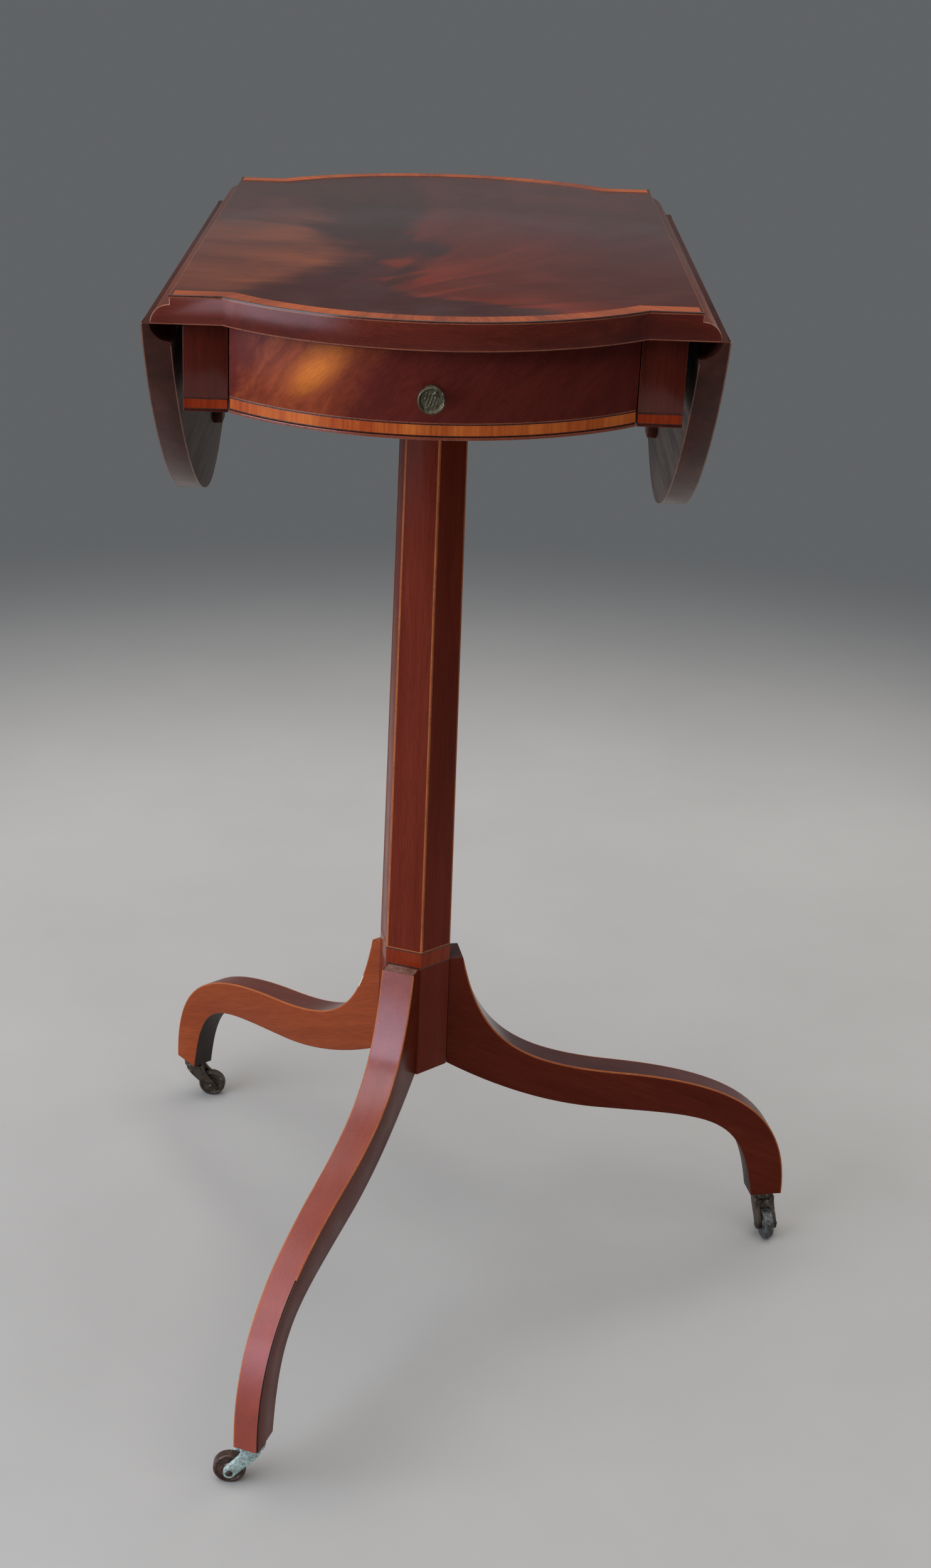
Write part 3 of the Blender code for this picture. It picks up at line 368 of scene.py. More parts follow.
def flame_front():
    """Crotch veneer of the drawer: a bright flame left of the middle, dark red to the right."""
    paint = Paint("flame_front", Roughness=0.34, Specular_IOR_Level=0.06)
    blend, span = paint.blend, paint.span
    x, y, z = paint.parts(tuple(-AXIS))
    # Distances round the bow from its middle, and up from the middle of the drawer
    around = paint.calc("ARCTAN2", x, paint.calc("ABSOLUTE", y) - BOW_CENTRE) * FRONT_RADIUS
    rise = z - DRAWER_MIDDLE
    paint.laid = paint.join(around - rise * 0.95, rise + around * 0.6, 0.0)
    licks = paint.noise((70.0, 26.0, 1.0), 4.0, 0.6, 0.9)
    fine = paint.noise((900.0, 160.0, 1.0), 3.0, 0.6)
    cloud = paint.noise(46.0, 4.0, 0.6)
    edge = around - rise * 0.55 + (licks - 0.5) * 0.016 + (cloud - 0.5) * 0.034
    warm = span(edge, -0.107, -0.086) * span(edge, -0.028, -0.05)
    # One bright tongue of flame, leaning to the right
    du, dv = around + 0.0595, rise - 0.005
    off = paint.reach((du * 0.8 + dv * 0.6) * 46.0, (dv * 0.8 - du * 0.6) * 105.0)
    glow = span(off + (licks - 0.5) * 1.6, 1.35, 0.1)
    colour = blend(span(edge, 0.0, 0.07), (0.1, 0.016, 0.012), (0.092, 0.014, 0.01))
    colour = blend(warm, colour, (0.185, 0.034, 0.014))
    colour = blend(warm * span(licks, 0.4, 0.72), colour, (0.245, 0.05, 0.018))
    colour = blend(glow, colour, (0.54, 0.145, 0.022))
    colour = paint.shade(colour, span(fine * 0.45 + licks * 0.55, 0.32, 0.68, 0.78, 1.2))
    paint.finish(colour, span(paint.noise(40.0, 3.0), 0.3, 0.7, 0.3, 0.4), fine, strength=0.05)


def raw_leaf_face():
    """Unfinished inner face of a leaf, with the mark that its stop has rubbed."""
    paint = Paint("raw_leaf_face", Roughness=0.62, IOR=1.45)
    span = paint.span
    _, y, z = paint.parts()
    paint.lay(turn=along(Y_GRAIN))
    streaks = paint.noise((6.0, 120.0, 120.0), 5.0, 0.6, 0.3)
    fibre = paint.noise((60.0, 1400.0, 1400.0), 2.0)
    colour = paint.ramp(streaks, (0.34, (0.056, 0.04, 0.033)), (0.66, (0.125, 0.092, 0.075)))
    foot = HINGE_Z - STOP_FOOT
    across = span(paint.calc("ABSOLUTE", y - (AXIS.y + STOP_PLACE)), 0.0016, 0.0006)
    down = span(z, foot - 0.012, foot - 0.009) * span(z, foot + 0.002, foot)
    colour = paint.blend(across * down, colour, (0.012, 0.009, 0.008))
    paint.finish(paint.shade(colour, span(fibre, 0.3, 0.7, 0.8, 1.15)), None, fibre, strength=0.6)


def aged_brass(name, low_tone, high_tone, crust, worn, metal=0.8, amount=0.42, rough=0.45):
    """Cast brass: a mottled ground, a matt crust in patches and worn spots."""
    paint = Paint(name, Roughness=rough, Metallic=metal)
    broad = paint.noise(260.0, 5.0, 0.62)
    fine = paint.noise(1400.0, 3.0, 0.6)
    ground = paint.ramp(broad, (0.36, low_tone), (0.64, high_tone))
    cover = paint.span(broad * 0.6 + fine * 0.4, 0.9 - amount, 1.06 - amount)
    paint.lay((3.0, 1.0, 2.0))
    rub = paint.span(paint.noise((420.0, 420.0, 420.0)), 0.6, 0.72)
    patchy = paint.span(paint.noise(700.0, 4.0, 0.65), 0.42, 0.6)
    crusted = paint.blend(patchy, crust, tuple(0.5 * value for value in crust))
    colour = paint.blend(rub, paint.blend(cover, ground, crusted), worn)
    paint.fill(paint.shader, Metallic=cover * -metal + metal)
    paint.finish(colour, paint.span(cover, 0.0, 1.0, rough, 0.78), patchy, 0.00015)


# Tones of wood: dark, middle and light
MAHOGANY = ((0.07, 0.017, 0.01), (0.112, 0.027, 0.014), (0.16, 0.042, 0.02))
EDGE = ((0.056, 0.008, 0.005), (0.09, 0.013, 0.007), (0.13, 0.022, 0.011))
LEAF_EDGE = ((0.032, 0.009, 0.005), (0.054, 0.014, 0.009), (0.082, 0.024, 0.015))
STILE = ((0.046, 0.006, 0.004), (0.062, 0.009, 0.005), (0.08, 0.013, 0.007))
COLUMN = ((0.137, 0.021, 0.011), (0.165, 0.026, 0.014), (0.194, 0.033, 0.017))
UNDER = ((0.045, 0.028, 0.02), (0.08, 0.05, 0.036), (0.12, 0.078, 0.056))
LINING = ((0.2, 0.115, 0.06), (0.3, 0.185, 0.1), (0.39, 0.255, 0.15))
LEG_UNDER = ((0.016, 0.01, 0.008), (0.028, 0.017, 0.013), (0.045, 0.028, 0.021))

# Each leg's tones: its sides, its top, and the two of the cut over its shoulder. The legs are of one wood,
# so the differences between them are painted light and shade: lighter where a face is lit, darker where it
# lies in shade, as on the right leg's top and cut.
LEG_PAINTED_LIGHT_TONES = {
    "right": (((0.09, 0.013, 0.006), (0.11, 0.017, 0.008), (0.132, 0.022, 0.01)),
              ((0.052, 0.014, 0.009), (0.068, 0.018, 0.011), (0.084, 0.024, 0.015)),
              ((0.03, 0.007, 0.004), (0.09, 0.018, 0.01))),
    "left": (((0.225, 0.043, 0.014), (0.268, 0.054, 0.018), (0.312, 0.068, 0.023)),
             ((0.09, 0.023, 0.015), (0.115, 0.029, 0.018), (0.138, 0.037, 0.022)),
             ((0.26, 0.05, 0.016), (0.42, 0.11, 0.036))),
    "front": (((0.096, 0.014, 0.006), (0.12, 0.018, 0.008), (0.146, 0.024, 0.011)),
              ((0.19, 0.032, 0.013), (0.24, 0.04, 0.017), (0.285, 0.054, 0.022)),
              ((0.1, 0.026, 0.016), (0.34, 0.2, 0.16))),
}

flame_top()
flame_front()
raw_leaf_face()
wood("board_edge", EDGE, X_GRAIN, 1.0, shine=0.36, tint=(1.0, 0.7, 0.74))
wood("board_side", MAHOGANY, Y_GRAIN, 2.0, coat=0.1)
wood("under", UNDER, X_GRAIN, 3.0, gloss=0.6, polish=False)
wood("leaf_face", MAHOGANY, Y_GRAIN, 4.0, gloss=0.22, coat=0.1, streak=90.0)
wood("leaf_edge", LEAF_EDGE, Y_GRAIN, 5.0, gloss=0.28, shine=0.12)
wood("stile", STILE, UP, 6.0, gloss=0.2, shine=0.07, pores=0.2)
wood("case_side", EDGE, Y_GRAIN, 7.0, gloss=0.38, coat=0.1)
wood("column_face", COLUMN, UP, 8.0, gloss=0.2, shine=0.04, pores=0.2)
wood("bearer", EDGE, X_GRAIN, 9.0, gloss=0.45, coat=0.1)
wood("lining", LINING, Y_GRAIN, 10.0, gloss=0.55, polish=False)
wood("lining_across", LINING, X_GRAIN, 11.0, gloss=0.55, polish=False)
for end, sign in ENDS:
    crossband("band_" + end, (0.21, 0.036, 0.009), (0.41, 0.09, 0.02),
              (AXIS.x, AXIS.y + sign * BOW_CENTRE))
crossband("band_leaf", (0.2, 0.048, 0.014), (0.4, 0.12, 0.032), grain=UP, seed=3.0)
crossband("band_red", (0.135, 0.011, 0.003), (0.27, 0.032, 0.006), grain=UP, seed=5.0, gloss=0.22,
          shine=0.15)
crossband("band_drawer", (0.3, 0.044, 0.01), (0.54, 0.135, 0.024), (AXIS.x, AXIS.y - BOW_CENTRE), UP,
          gloss=0.34, shine=0.12)
plain("string", (0.31, 0.076, 0.022), (0.44, 0.124, 0.036), 60.0, 0.32, relief=0.03, shine=0.2)
plain("chip", (0.6, 0.48, 0.33), (0.78, 0.66, 0.5), 200.0, 0.7, relief=0.5)
plain("string_red", (0.17, 0.036, 0.016), (0.27, 0.07, 0.03), 60.0, 0.32, coat=0.2, relief=0.03)
plain("string_leaf", (0.1, 0.034, 0.018), (0.23, 0.084, 0.04), 60.0, 0.36, relief=0.03)
plain("dark_line", (0.028, 0.008, 0.005), (0.052, 0.014, 0.009), 150.0, 0.24, coat=0.1, relief=0.02)
plain("bead", (0.13, 0.024, 0.012), (0.22, 0.046, 0.02), 90.0, 0.24, coat=0.5)
plain("rebate", (0.022, 0.009, 0.006), (0.06, 0.022, 0.015), 200.0, 0.6)
plain("worn", (0.15, 0.048, 0.028), (0.3, 0.11, 0.064), 130.0, 0.28, coat=0.3)
plain("soft_edge", (0.08, 0.016, 0.009), (0.155, 0.034, 0.018), 110.0, 0.26, relief=0.05, shine=0.2)
plain("iron", (0.04, 0.034, 0.03), (0.115, 0.098, 0.085), 300.0, 0.5, metal=0.85)
aged_brass("knob_brass", (0.06, 0.052, 0.034), (0.15, 0.13, 0.078), (0.045, 0.038, 0.026),
           (0.33, 0.31, 0.19), rough=0.3)
aged_brass("brass_dark", (0.05, 0.036, 0.028), (0.11, 0.082, 0.06), (0.04, 0.034, 0.028),
           (0.23, 0.19, 0.13))
aged_brass("brass_green", (0.13, 0.165, 0.145), (0.3, 0.36, 0.31), (0.42, 0.54, 0.52),
           (0.66, 0.68, 0.52), metal=0.3, amount=0.62, rough=0.35)
aged_brass("wheel_brown", (0.05, 0.026, 0.022), (0.11, 0.06, 0.046), (0.075, 0.055, 0.048),
           (0.26, 0.19, 0.15), metal=0.5, amount=0.36, rough=0.28)
aged_brass("wheel_grey", (0.05, 0.046, 0.044), (0.13, 0.124, 0.12), (0.09, 0.12, 0.125),
           (0.3, 0.31, 0.31), metal=0.6, amount=0.45, rough=0.4)


# Making of pieces

@contextmanager
def opened(mesh):
    """A mesh's form for editing, written back at the end."""
    shape = bmesh.new()
    shape.from_mesh(mesh)
    yield shape
    shape.to_mesh(mesh)
    shape.free()


def coat(mesh, *looks):
    """Give a mesh its looks in place of any it had."""
    mesh.materials.clear()
    for look in looks:
        mesh.materials.append(LOOK[look])


def linked(name, mesh):
    item = bpy.data.objects.new(name, mesh)
    SCENE.collection.objects.link(item)
    return item


def shade(mesh, angle=CRISP_ANGLE):
    mesh.shade_smooth()
    mesh.set_sharp_from_angle(angle=angle)


def show(item, body, slot, hides=None):
    shade(item.data)
    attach(item, body)
    if hides:
        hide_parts(hides)
    return item


def piece(name, points, faces, looks, body, slot, picks=(), hides=None):
    """A mesh piece that rides on a body. Picks give each face's look by number."""
    mesh = bpy.data.meshes.new(name)
    mesh.from_pydata([tuple(point) for point in points], [], faces)
    coat(mesh, *looks)
    for polygon, pick in zip(mesh.polygons, picks):
        polygon.material_index = pick
    with opened(mesh) as shape:
        bmesh.ops.recalc_face_normals(shape, faces=shape.faces)
    return show(linked(name, mesh), body, slot, hides)


def grid(rows, columns, close_rows=False, close_columns=False):
    """Cells between rows of points, and each cell's face. Points are numbered row by row."""
    cells = [(row, column) for row in range(rows if close_rows else rows - 1)
             for column in range(columns if close_columns else columns - 1)]
    faces = []
    for row, column in cells:
        start, after, beyond = row * columns, (row + 1) % rows * columns, (column + 1) % columns
        faces.append((start + column, start + beyond, after + beyond, after + column))
    return cells, faces


def sweep(name, rings, looks, body="stand", slot="mahogany", pick=None, loop=False, hides=None):
    """A tube through rings of points. Pick gives a look's number for a ring and a place round it."""
    count = len(rings[0])
    cells, faces = grid(len(rings), count, loop, True)
    picks = [pick(*cell) if pick else 0 for cell in cells]
    if not loop:
        last = (len(rings) - 1) * count
        faces += [tuple(reversed(range(count))), tuple(range(last, last + count))]
        picks += [0, 0]
    points = [point for ring in rings for point in ring]
    return piece(name, points, faces, looks, body, slot, picks, hides)


def lathe(name, profile, centre, axis, look, body, hides, steps=64):
    """A turned brass piece: (radius, height) pairs down its outer side, round an axis through a centre."""
    axis = Vector(axis).normalized()
    side = axis.orthogonal().normalized()
    other = axis.cross(side)
    points = []
    for turn in (2 * pi * step / steps for step in range(steps)):
        out = side * cos(turn) + other * sin(turn)
        points += [Vector(centre) + out * radius + axis * height for radius, height in profile]
    made = piece(name, points, grid(steps, len(profile), True)[1], [look], body, "brass", hides=hides)
    with opened(made.data) as shape:
        bmesh.ops.remove_doubles(shape, verts=shape.verts, dist=0.00001)
        bmesh.ops.holes_fill(shape, edges=shape.edges)
        bmesh.ops.recalc_face_normals(shape, faces=shape.faces)
    shade(made.data)
    return made


def applied(item):
    """Give a piece the mesh that its modifiers make."""
    bpy.context.view_layer.update()
    mesh = bpy.data.meshes.new_from_object(item.evaluated_get(bpy.context.evaluated_depsgraph_get()))
    item.modifiers.clear()
    item.data = mesh
    return item


def rounded(item, width, edge, spare=None):
    """Round the outer arrises of a piece, in the look whose number is edge.

    An edge stays sharp where spare is true of its middle.
    """
    with opened(item.data) as shape:
        weight = shape.edges.layers.float.new("bevel_weight_edge")
        for line in shape.edges:
            spared = spare and spare((line.verts[0].co + line.verts[1].co) / 2)
            if not spared and line.is_manifold and line.is_convex and line.calc_face_angle() > ARRIS_ANGLE:
                line[weight] = 1.0
    step = item.modifiers.new("round", "BEVEL")
    step.width = width
    step.segments = 2
    step.limit_method = "WEIGHT"
    step.material = edge
    return applied(item)


def softened(node, looks, width=SOFT_EDGE, edge=0, body="stand", slot="mahogany", chooser=None, spare=None):
    """A copy of a solid with its arrises rounded. The chooser gives a flat face's look by number."""
    mesh = NODES[node].data.copy()
    coat(mesh, *looks)
    with opened(mesh) as shape:
        bmesh.ops.remove_doubles(shape, verts=shape.verts, dist=0.000002)
        bmesh.ops.dissolve_limit(shape, angle_limit=radians(0.6), verts=shape.verts, edges=shape.edges)
    for polygon in mesh.polygons:
        polygon.material_index = chooser(polygon.normal, polygon.center) if chooser else 0
    show(rounded(linked("shown_" + node, mesh), width, edge, spare), body, slot, node)


def arris_ring(point, out_a, out_b, width, along_a=None, along_b=None, rounding=0.0003):
    """Section of a string that wraps the arris of two faces, given their outward directions."""
    along_a = -out_b if along_a is None else along_a
    along_b = -out_a if along_b is None else along_b
    corner = (out_a + out_b) / (1.0 + out_a.dot(out_b))
    centre = point + corner * (PROUD - rounding)
    return [
        point + along_a * width + out_a * PROUD,
        centre + out_a * rounding,
        centre + (out_a + out_b).normalized() * rounding,
        centre + out_b * rounding,
        point + along_b * width + out_b * PROUD,
        point + along_b * width - out_b * SUNK,
        point - corner * SUNK,
        point + along_a * width - out_a * SUNK,
    ]


def flat_band(name, outer, inner, normal, look, *where):
    """A strip of veneer between two lines on a flat face."""
    lift, sink = normal * PROUD, normal * -SUNK
    rings = [[a + lift, b + lift, b + sink, a + sink] for a, b in zip(outer, inner)]
    sweep(name, rings, [look], *where)


def stacked(lines, foot):
    """Strips of veneer over one another: each one's word and look, its foot and its top."""
    for word, look, height in lines:
        yield word, look, foot, foot + height
        foot += height


def bend(start, first, second, end, steps):
    """Points of a cubic curve, both ends included."""
    spots = [Vector((*spot, 0.0)) for spot in (start, first, second, end)]
    return [(spot.x, spot.y) for spot in geometry.interpolate_bezier(*spots, steps + 1)]


def outward(line, sign=1):
    """Outward direction at each point of a flat line, as pairs."""
    found = []
    for before, after in zip(line[:1] + line, line[1:] + line[-1:]):
        run, rise = after[0] - before[0], after[1] - before[1]
        long = hypot(run, rise) * sign
        found.append((-rise / long, run / long))
    return found


def direction(turn):
    return Vector((cos(turn), sin(turn), 0.0))


# Top board: softened solid, crossbands and lines along its front and back

# Slack in telling where a face or a point is, and the height of a hinge's bed and of the zone kept crisp
NEAR = 0.001
BED_HEIGHT = 0.0019
CRISP_HEIGHT = 0.004

HINGE_SPANS = [(low.y - NEAR, high.y + NEAR) for low, high in
               (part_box("hinge_board_flap_left_" + end) for end in ("front", "back"))]


def board_look(normal, centre):
    if normal.z > 0.9 and centre.z > TOP_HEIGHT - NEAR:
        return 1
    if normal.z < -0.5 or (centre.z < HINGE_Z + BED_HEIGHT and abs(normal.z) > 0.5):
        return 3
    return 2 if abs(normal.y) < 0.3 and abs(centre.x - AXIS.x) > HINGE_X - NEAR else 0


def in_hinge_bed(spot):
    """Whether a point is at a hinge's bed in the board, which stays crisp to clear the leaf's flap."""
    return spot.z < HINGE_Z + CRISP_HEIGHT and any(low < spot.y < high for low, high in HINGE_SPANS)


softened("top_board", ["board_edge", "flame_top", "board_side", "under", "worn"], edge=4,
         slot="flame_veneer", chooser=board_look, spare=in_hinge_bed)


def bow(radius, reach, height, steps=48):
    """Points round the front bow at a radius, through an angle each side."""
    turns = [reach * (2 * step / steps - 1) for step in range(steps + 1)]
    return [Vector((radius * sin(turn), -BOW_CENTRE - radius * cos(turn), height))
            for turn in turns]


def top_line(inset, end, height):
    """The top's front outline, moved in by an inset and stopped short of its sides."""
    radius = BOW_RADIUS - inset
    y = inset - TOP_DEPTH / 2
    reach = asin(sqrt(radius ** 2 - (y + BOW_CENTRE) ** 2) / radius)
    return [Vector((-end, y, height)), *bow(radius, reach, height), Vector((end, y, height))]


def placed(line, sign):
    """A line put round the column's axis, turned half round for the back, where the sign is 1."""
    return [AXIS + Vector((-sign * spot.x, -sign * spot.y, spot.z)) for spot in line]


for end, sign in ENDS:
    band_lines = [placed(top_line(inset, HINGE_X - SIDE_STRIP, TOP_HEIGHT), sign)
                  for inset in (LIGHT_LINE, LIGHT_LINE + BAND_WIDTH)]
    flat_band("top_crossband_" + end, *band_lines, UP, "band_" + end, "stand", "flame_veneer")
    flat = Vector((0.0, sign, 0.0))
    for word, height, reach, out_v, look in (
        ("upper", TOP_HEIGHT, HINGE_X, UP, "dark_line"),
        ("lower", HINGE_Z, HINGE_X + OVOLO_RADIUS - 0.0006, -UP, "string_red"),
    ):
        spots = placed(top_line(0.0, reach, height), sign)
        last = len(spots) - 1
        rings, below = [], []
        for index, spot in enumerate(spots):
            out = flat if index in (0, last) else (spot - AXIS - flat * BOW_CENTRE).xy.to_3d().normalized()
            if index in (1, last - 1):
                out = (out + flat) / (1.0 + out.dot(flat))
            rings.append(arris_ring(spot, out, out_v, LIGHT_LINE, rounding=0.0005))
            upper = spot - out_v * (LIGHT_LINE + STRIP_GAP)
            lower = upper - out_v * RED_LINE
            below.append([upper + out * PROUD, lower + out * PROUD, lower - out * SUNK, upper - out * SUNK])
        sweep("top_string_" + word + "_" + end, rings, [look], "stand", "flame_veneer")
        if word == "upper":
            sweep("top_red_line_" + end, below, ["string_red"], "stand", "flame_veneer")


# Leaves

# How far a hinge's bed goes into a leaf, and how far its tool stands out of the leaf's face
BED_DEPTH = 0.0018
BED_MARGIN = 0.004


def leaf_line(inset, steps=64):
    """The leaf's D-shaped edge from its back corner to its front corner, as (y, z)."""
    half_length, drop = TOP_DEPTH / 2 - LEAF_CORNER_INSET - inset, LEAF_DROP - inset
    down, out = LEAF_SHOULDER_SHARES
    half = bend((half_length, -JOINT_CLEARANCE), (out * half_length, -down * drop),
                (LEAF_NOSE_SHARE * half_length, -drop), (0.0, -drop), steps)
    return half + [(-y, z) for y, z in reversed(half[:-1])]


def cut(item, shapes):
    """Cut shapes out of a piece, in turn."""
    tools = []
    for shape in shapes:
        mesh = bpy.data.meshes.new("tool")
        shape.to_mesh(mesh)
        shape.free()
        tools.append(linked("tool", mesh))
        step = item.modifiers.new("cut", "BOOLEAN")
        step.operation, step.solver, step.object = "DIFFERENCE", "EXACT", tools[-1]
    applied(item)
    for tool in tools:
        bpy.data.objects.remove(tool, do_unlink=True)


def leaf(side, sign):
    body = "leaf_" + side
    inner, outer = AXIS.x + sign * HINGE_X, AXIS.x + sign * (HINGE_X + TOP_THICKNESS)

    def placed_at(x, inset):
        return [Vector((x, AXIS.y + y, HINGE_Z + z)) for y, z in leaf_line(inset)]

    line = leaf_line(0.0)
    count = len(line)
    faces = [tuple(range(count)), tuple(reversed(range(count, 2 * count))),
             (0, count, 2 * count - 1, count - 1)]
    faces += [(index, index + 1, count + index + 1, count + index) for index in range(count - 1)]
    made = piece("shown_leaf_" + side, placed_at(inner, 0.0) + placed_at(outer, 0.0), faces, ["leaf_edge"],
                 body, "mahogany", hides="leaf_" + side)
    cove, cove_radius = bmesh.new(), OVOLO_RADIUS + JOINT_CLEARANCE
    lying = Matrix.Translation((inner, AXIS.y, HINGE_Z)) @ Matrix.Rotation(pi / 2, 4, "X")
    bmesh.ops.create_cone(cove, cap_ends=True, segments=96, radius1=cove_radius, radius2=cove_radius,
                          depth=TOP_DEPTH + 0.02, matrix=lying)
    tools = [cove]
    for end, _ in ENDS:
        low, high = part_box("hinge_leaf_flap_" + side + "_" + end)
        left, right = sorted((inner - sign * BED_MARGIN, inner + sign * BED_DEPTH))
        bed_low, bed_high = Vector((left, low.y - FIT, low.z - FIT)), Vector((right, high.y + FIT, HINGE_Z))
        bed = bmesh.new()
        bmesh.ops.create_cube(bed, size=1.0, matrix=Matrix.Translation((bed_low + bed_high) / 2)
                              @ Matrix.Diagonal((*(bed_high - bed_low), 1.0)))
        tools.append(bed)
    cut(made, tools)
    coat(made.data, "leaf_edge", "leaf_face", "raw_leaf_face", "soft_edge")
    for polygon in made.data.polygons:
        facing = sign * polygon.normal.x
        hollow = polygon.center.z > HINGE_Z - OVOLO_RADIUS - 2 * NEAR
        polygon.material_index = 1 if facing > 0.9 else 2 if facing < -0.9 and not hollow else 0
    rounded(made, SOFT_EDGE, 3)
    shade(made.data)
    outs = [Vector((0.0, *out)) for out in outward(line)]
    for word, x, out_x, top in (("inner", inner, -sign, -OVOLO_RADIUS - NEAR),
                                ("outer", outer, sign, 0.0)):
        rings = [arris_ring(spot, Vector((out_x, 0.0, 0.0)), out, LEAF_STRING)
                 for spot, (_, z), out in zip(placed_at(x, 0.0), line, outs) if z < top]
        sweep("leaf_string_" + word + "_" + side, rings, ["string_leaf"], body)
    edges = [placed_at(outer, inset) for inset in accumulate((LEAF_STRING, DARK_LINE, BAND_WIDTH))]
    for word, look, pair in (("dark_line", "dark_line", edges[:2]), ("crossband", "band_leaf", edges[1:])):
        flat_band("leaf_" + word + "_" + side, *pair, Vector((sign, 0.0, 0.0)), look, body)


for side, sign in SIDES:
    leaf(side, sign)


# Case, drawer and their beads

for nodes, look, width, *where in (
    ("stile_front_left stile_front_right stile_back_left stile_back_right", "stile", SOFT_EDGE),
    ("case_side_left case_side_right", "case_side", SOFT_EDGE),
    ("fly_bracket_left fly_bracket_right", "bearer", 0.0006),
    ("back_panel", "flame_front", SOFT_EDGE, "stand", "flame_veneer"),
    ("column_bearer", "bearer", 0.0008),
    ("leaf_stop_left", "leaf_edge", 0.0008, "leaf_left"),
    ("leaf_stop_right", "leaf_edge", 0.0008, "leaf_right"),
    ("drawer_side_left drawer_side_right", "lining", 0.0005, "drawer", "drawer_lining"),
    ("drawer_back", "lining_across", 0.0005, "drawer", "drawer_lining"),
):
    for node in nodes.split():
        softened(node, [look, look if "lining" in look else "soft_edge"], width, 1, *where)


def front_look(normal, centre):
    return 0 if centre.y < AXIS.y - BOW_CENTRE and normal.y < -0.3 and abs(normal.z) < 0.3 else 1


softened("drawer_front", ["flame_front", "lining_across", "soft_edge"], SOFT_EDGE, 2, "drawer",
         "flame_veneer", front_look)
softened("column", ["column_face"])

# Solids shown as they are, by how their names start
for look, starts in (
    ("bead", ("back_bead", "drawer_bead")),
    ("lining", ("case_bottom", "drawer_guide")),
    ("lining_across", ("drawer_stop", "drawer_bottom")),
    ("iron", ("knob_screw", "fly_pin", "hinge")),
    ("brass_dark", ("caster_axle", "caster_plate")),
):
    for node, item in NODES.items():
        if node.startswith(starts):
            coat(item.data, look)

# Strips over one another, from the lowest: word, look and height
DRAWER_LINES = (("lower_dark", "dark_line", 0.0005), ("crossband", "band_drawer", 0.0052),
                ("upper_dark", "dark_line", 0.0007), ("upper_red", "string_red", 0.0005))
STILE_LINES = (("lower_dark", "dark_line", 0.0006), ("crossband", "band_red", 0.0046),
               ("upper_dark", "dark_line", 0.0008))


def bow_band(name, low, high, look, body, sign):
    """A strip of veneer round a bowed front, between two heights."""
    lines = [bow(FRONT_RADIUS + grow, DRAWER_REACH, z)
             for grow, z in ((-SUNK, low), (PROUD, low), (PROUD, high), (-SUNK, high))]
    sweep(name, [placed(ring, sign) for ring in zip(*lines)], [look], body, "flame_veneer")


low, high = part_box("drawer_front")
DRAWER_REACH = asin(((high.x - low.x) / 2 - SOFT_EDGE) / FRONT_RADIUS)
for word, look, foot, top in stacked(DRAWER_LINES, low.z + STRIP_GAP):
    bow_band("drawer_" + word, foot, top, look, "drawer", -1)
    bow_band("back_" + word, foot, top, look, "stand", 1)

case_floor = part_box("case_bottom")[0].z
for end, sign in ENDS:
    for side, _ in SIDES:
        low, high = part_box("stile_" + end + "_" + side)
        y = low.y if end == "front" else high.y
        for word, look, *heights in stacked(STILE_LINES, case_floor + BEAD_HEIGHT):
            lines = [[Vector((x, y, z)) for x in (low.x + SOFT_EDGE, high.x - SOFT_EDGE)] for z in heights]
            flat_band("stile_" + word + "_" + end + "_" + side, *lines, Vector((0.0, sign, 0.0)), look)


# Column: strings on its arrises, and a band above the legs

ARRIS_TURNS = [COLUMN_TURN + radians(30 + 60 * number) for number in range(6)]


def arris_radius(height):
    share = (height - COLUMN_FOOT) / (COLUMN_TOP - COLUMN_FOOT)
    return COLUMN_FOOT_RADIUS + (COLUMN_TOP_RADIUS - COLUMN_FOOT_RADIUS) * share


def column_face(height):
    return arris_radius(height) * cos(pi / 6)


def hexagon(height, grow, rounding=0.0005):
    """A ring round the column, with its six arrises rounded."""
    spots = []
    for turn in ARRIS_TURNS:
        reach = arris_radius(height) + (grow - rounding) / cos(pi / 6)
        centre = AXIS + direction(turn) * reach + UP * height
        spots += [centre + direction(turn + radians(angle)) * rounding for angle in (-30, 0, 30)]
    return spots


def collar(name, low, high, look, proud=PROUD):
    rings = [hexagon(low, -SUNK), hexagon(low, proud), hexagon(high, proud), hexagon(high, -SUNK)]
    sweep(name, rings, [look], loop=True)


band_foot = LEG_TOP + COLUMN_BAND_RISE
band_top = band_foot + COLUMN_BAND
rectangle = band_top + DARK_LINE
for number, turn in enumerate(ARRIS_TURNS):
    rings = []
    for height in (rectangle, COLUMN_TOP - FIT):
        spot = AXIS + direction(turn) * arris_radius(height) + UP * height
        sides = [direction(turn + radians(angle)) for angle in (-30, 30, -120, 120)]
        rings.append(arris_ring(spot, *sides[:2], COLUMN_STRING, *sides[2:]))
    sweep("column_string_%d" % number, rings, ["string"])
collar("column_lower_dark", band_foot - COLUMN_DARK_LINE, band_foot, "dark_line")
collar("column_band", band_foot, band_top, "band_red")
collar("column_upper_dark", band_top, rectangle, "dark_line", PROUD * 1.5)
collar("column_rectangle", rectangle, rectangle + LIGHT_LINE, "string", PROUD * 0.9)


# Legs

# Progress is 0 at a leg's shoulder, 1 halfway along its curves and 2 at its foot
LEG_STEPS = 26
STRING_LOST_FROM = {"front": 1.38}
STRING_CHIPPED = {"left": (0.22, 0.3)}
DULL_BELOW = 0.165


def leg_line(start, shares, end):
    """The two curves of a leg's outline in side view, as one line."""
    spots = [(reach * LEG_REACH, height * LEG_TOP) for reach, height in shares]
    return bend(start, *spots[:3], LEG_STEPS) + bend(*spots[2:], end, LEG_STEPS)[1:]


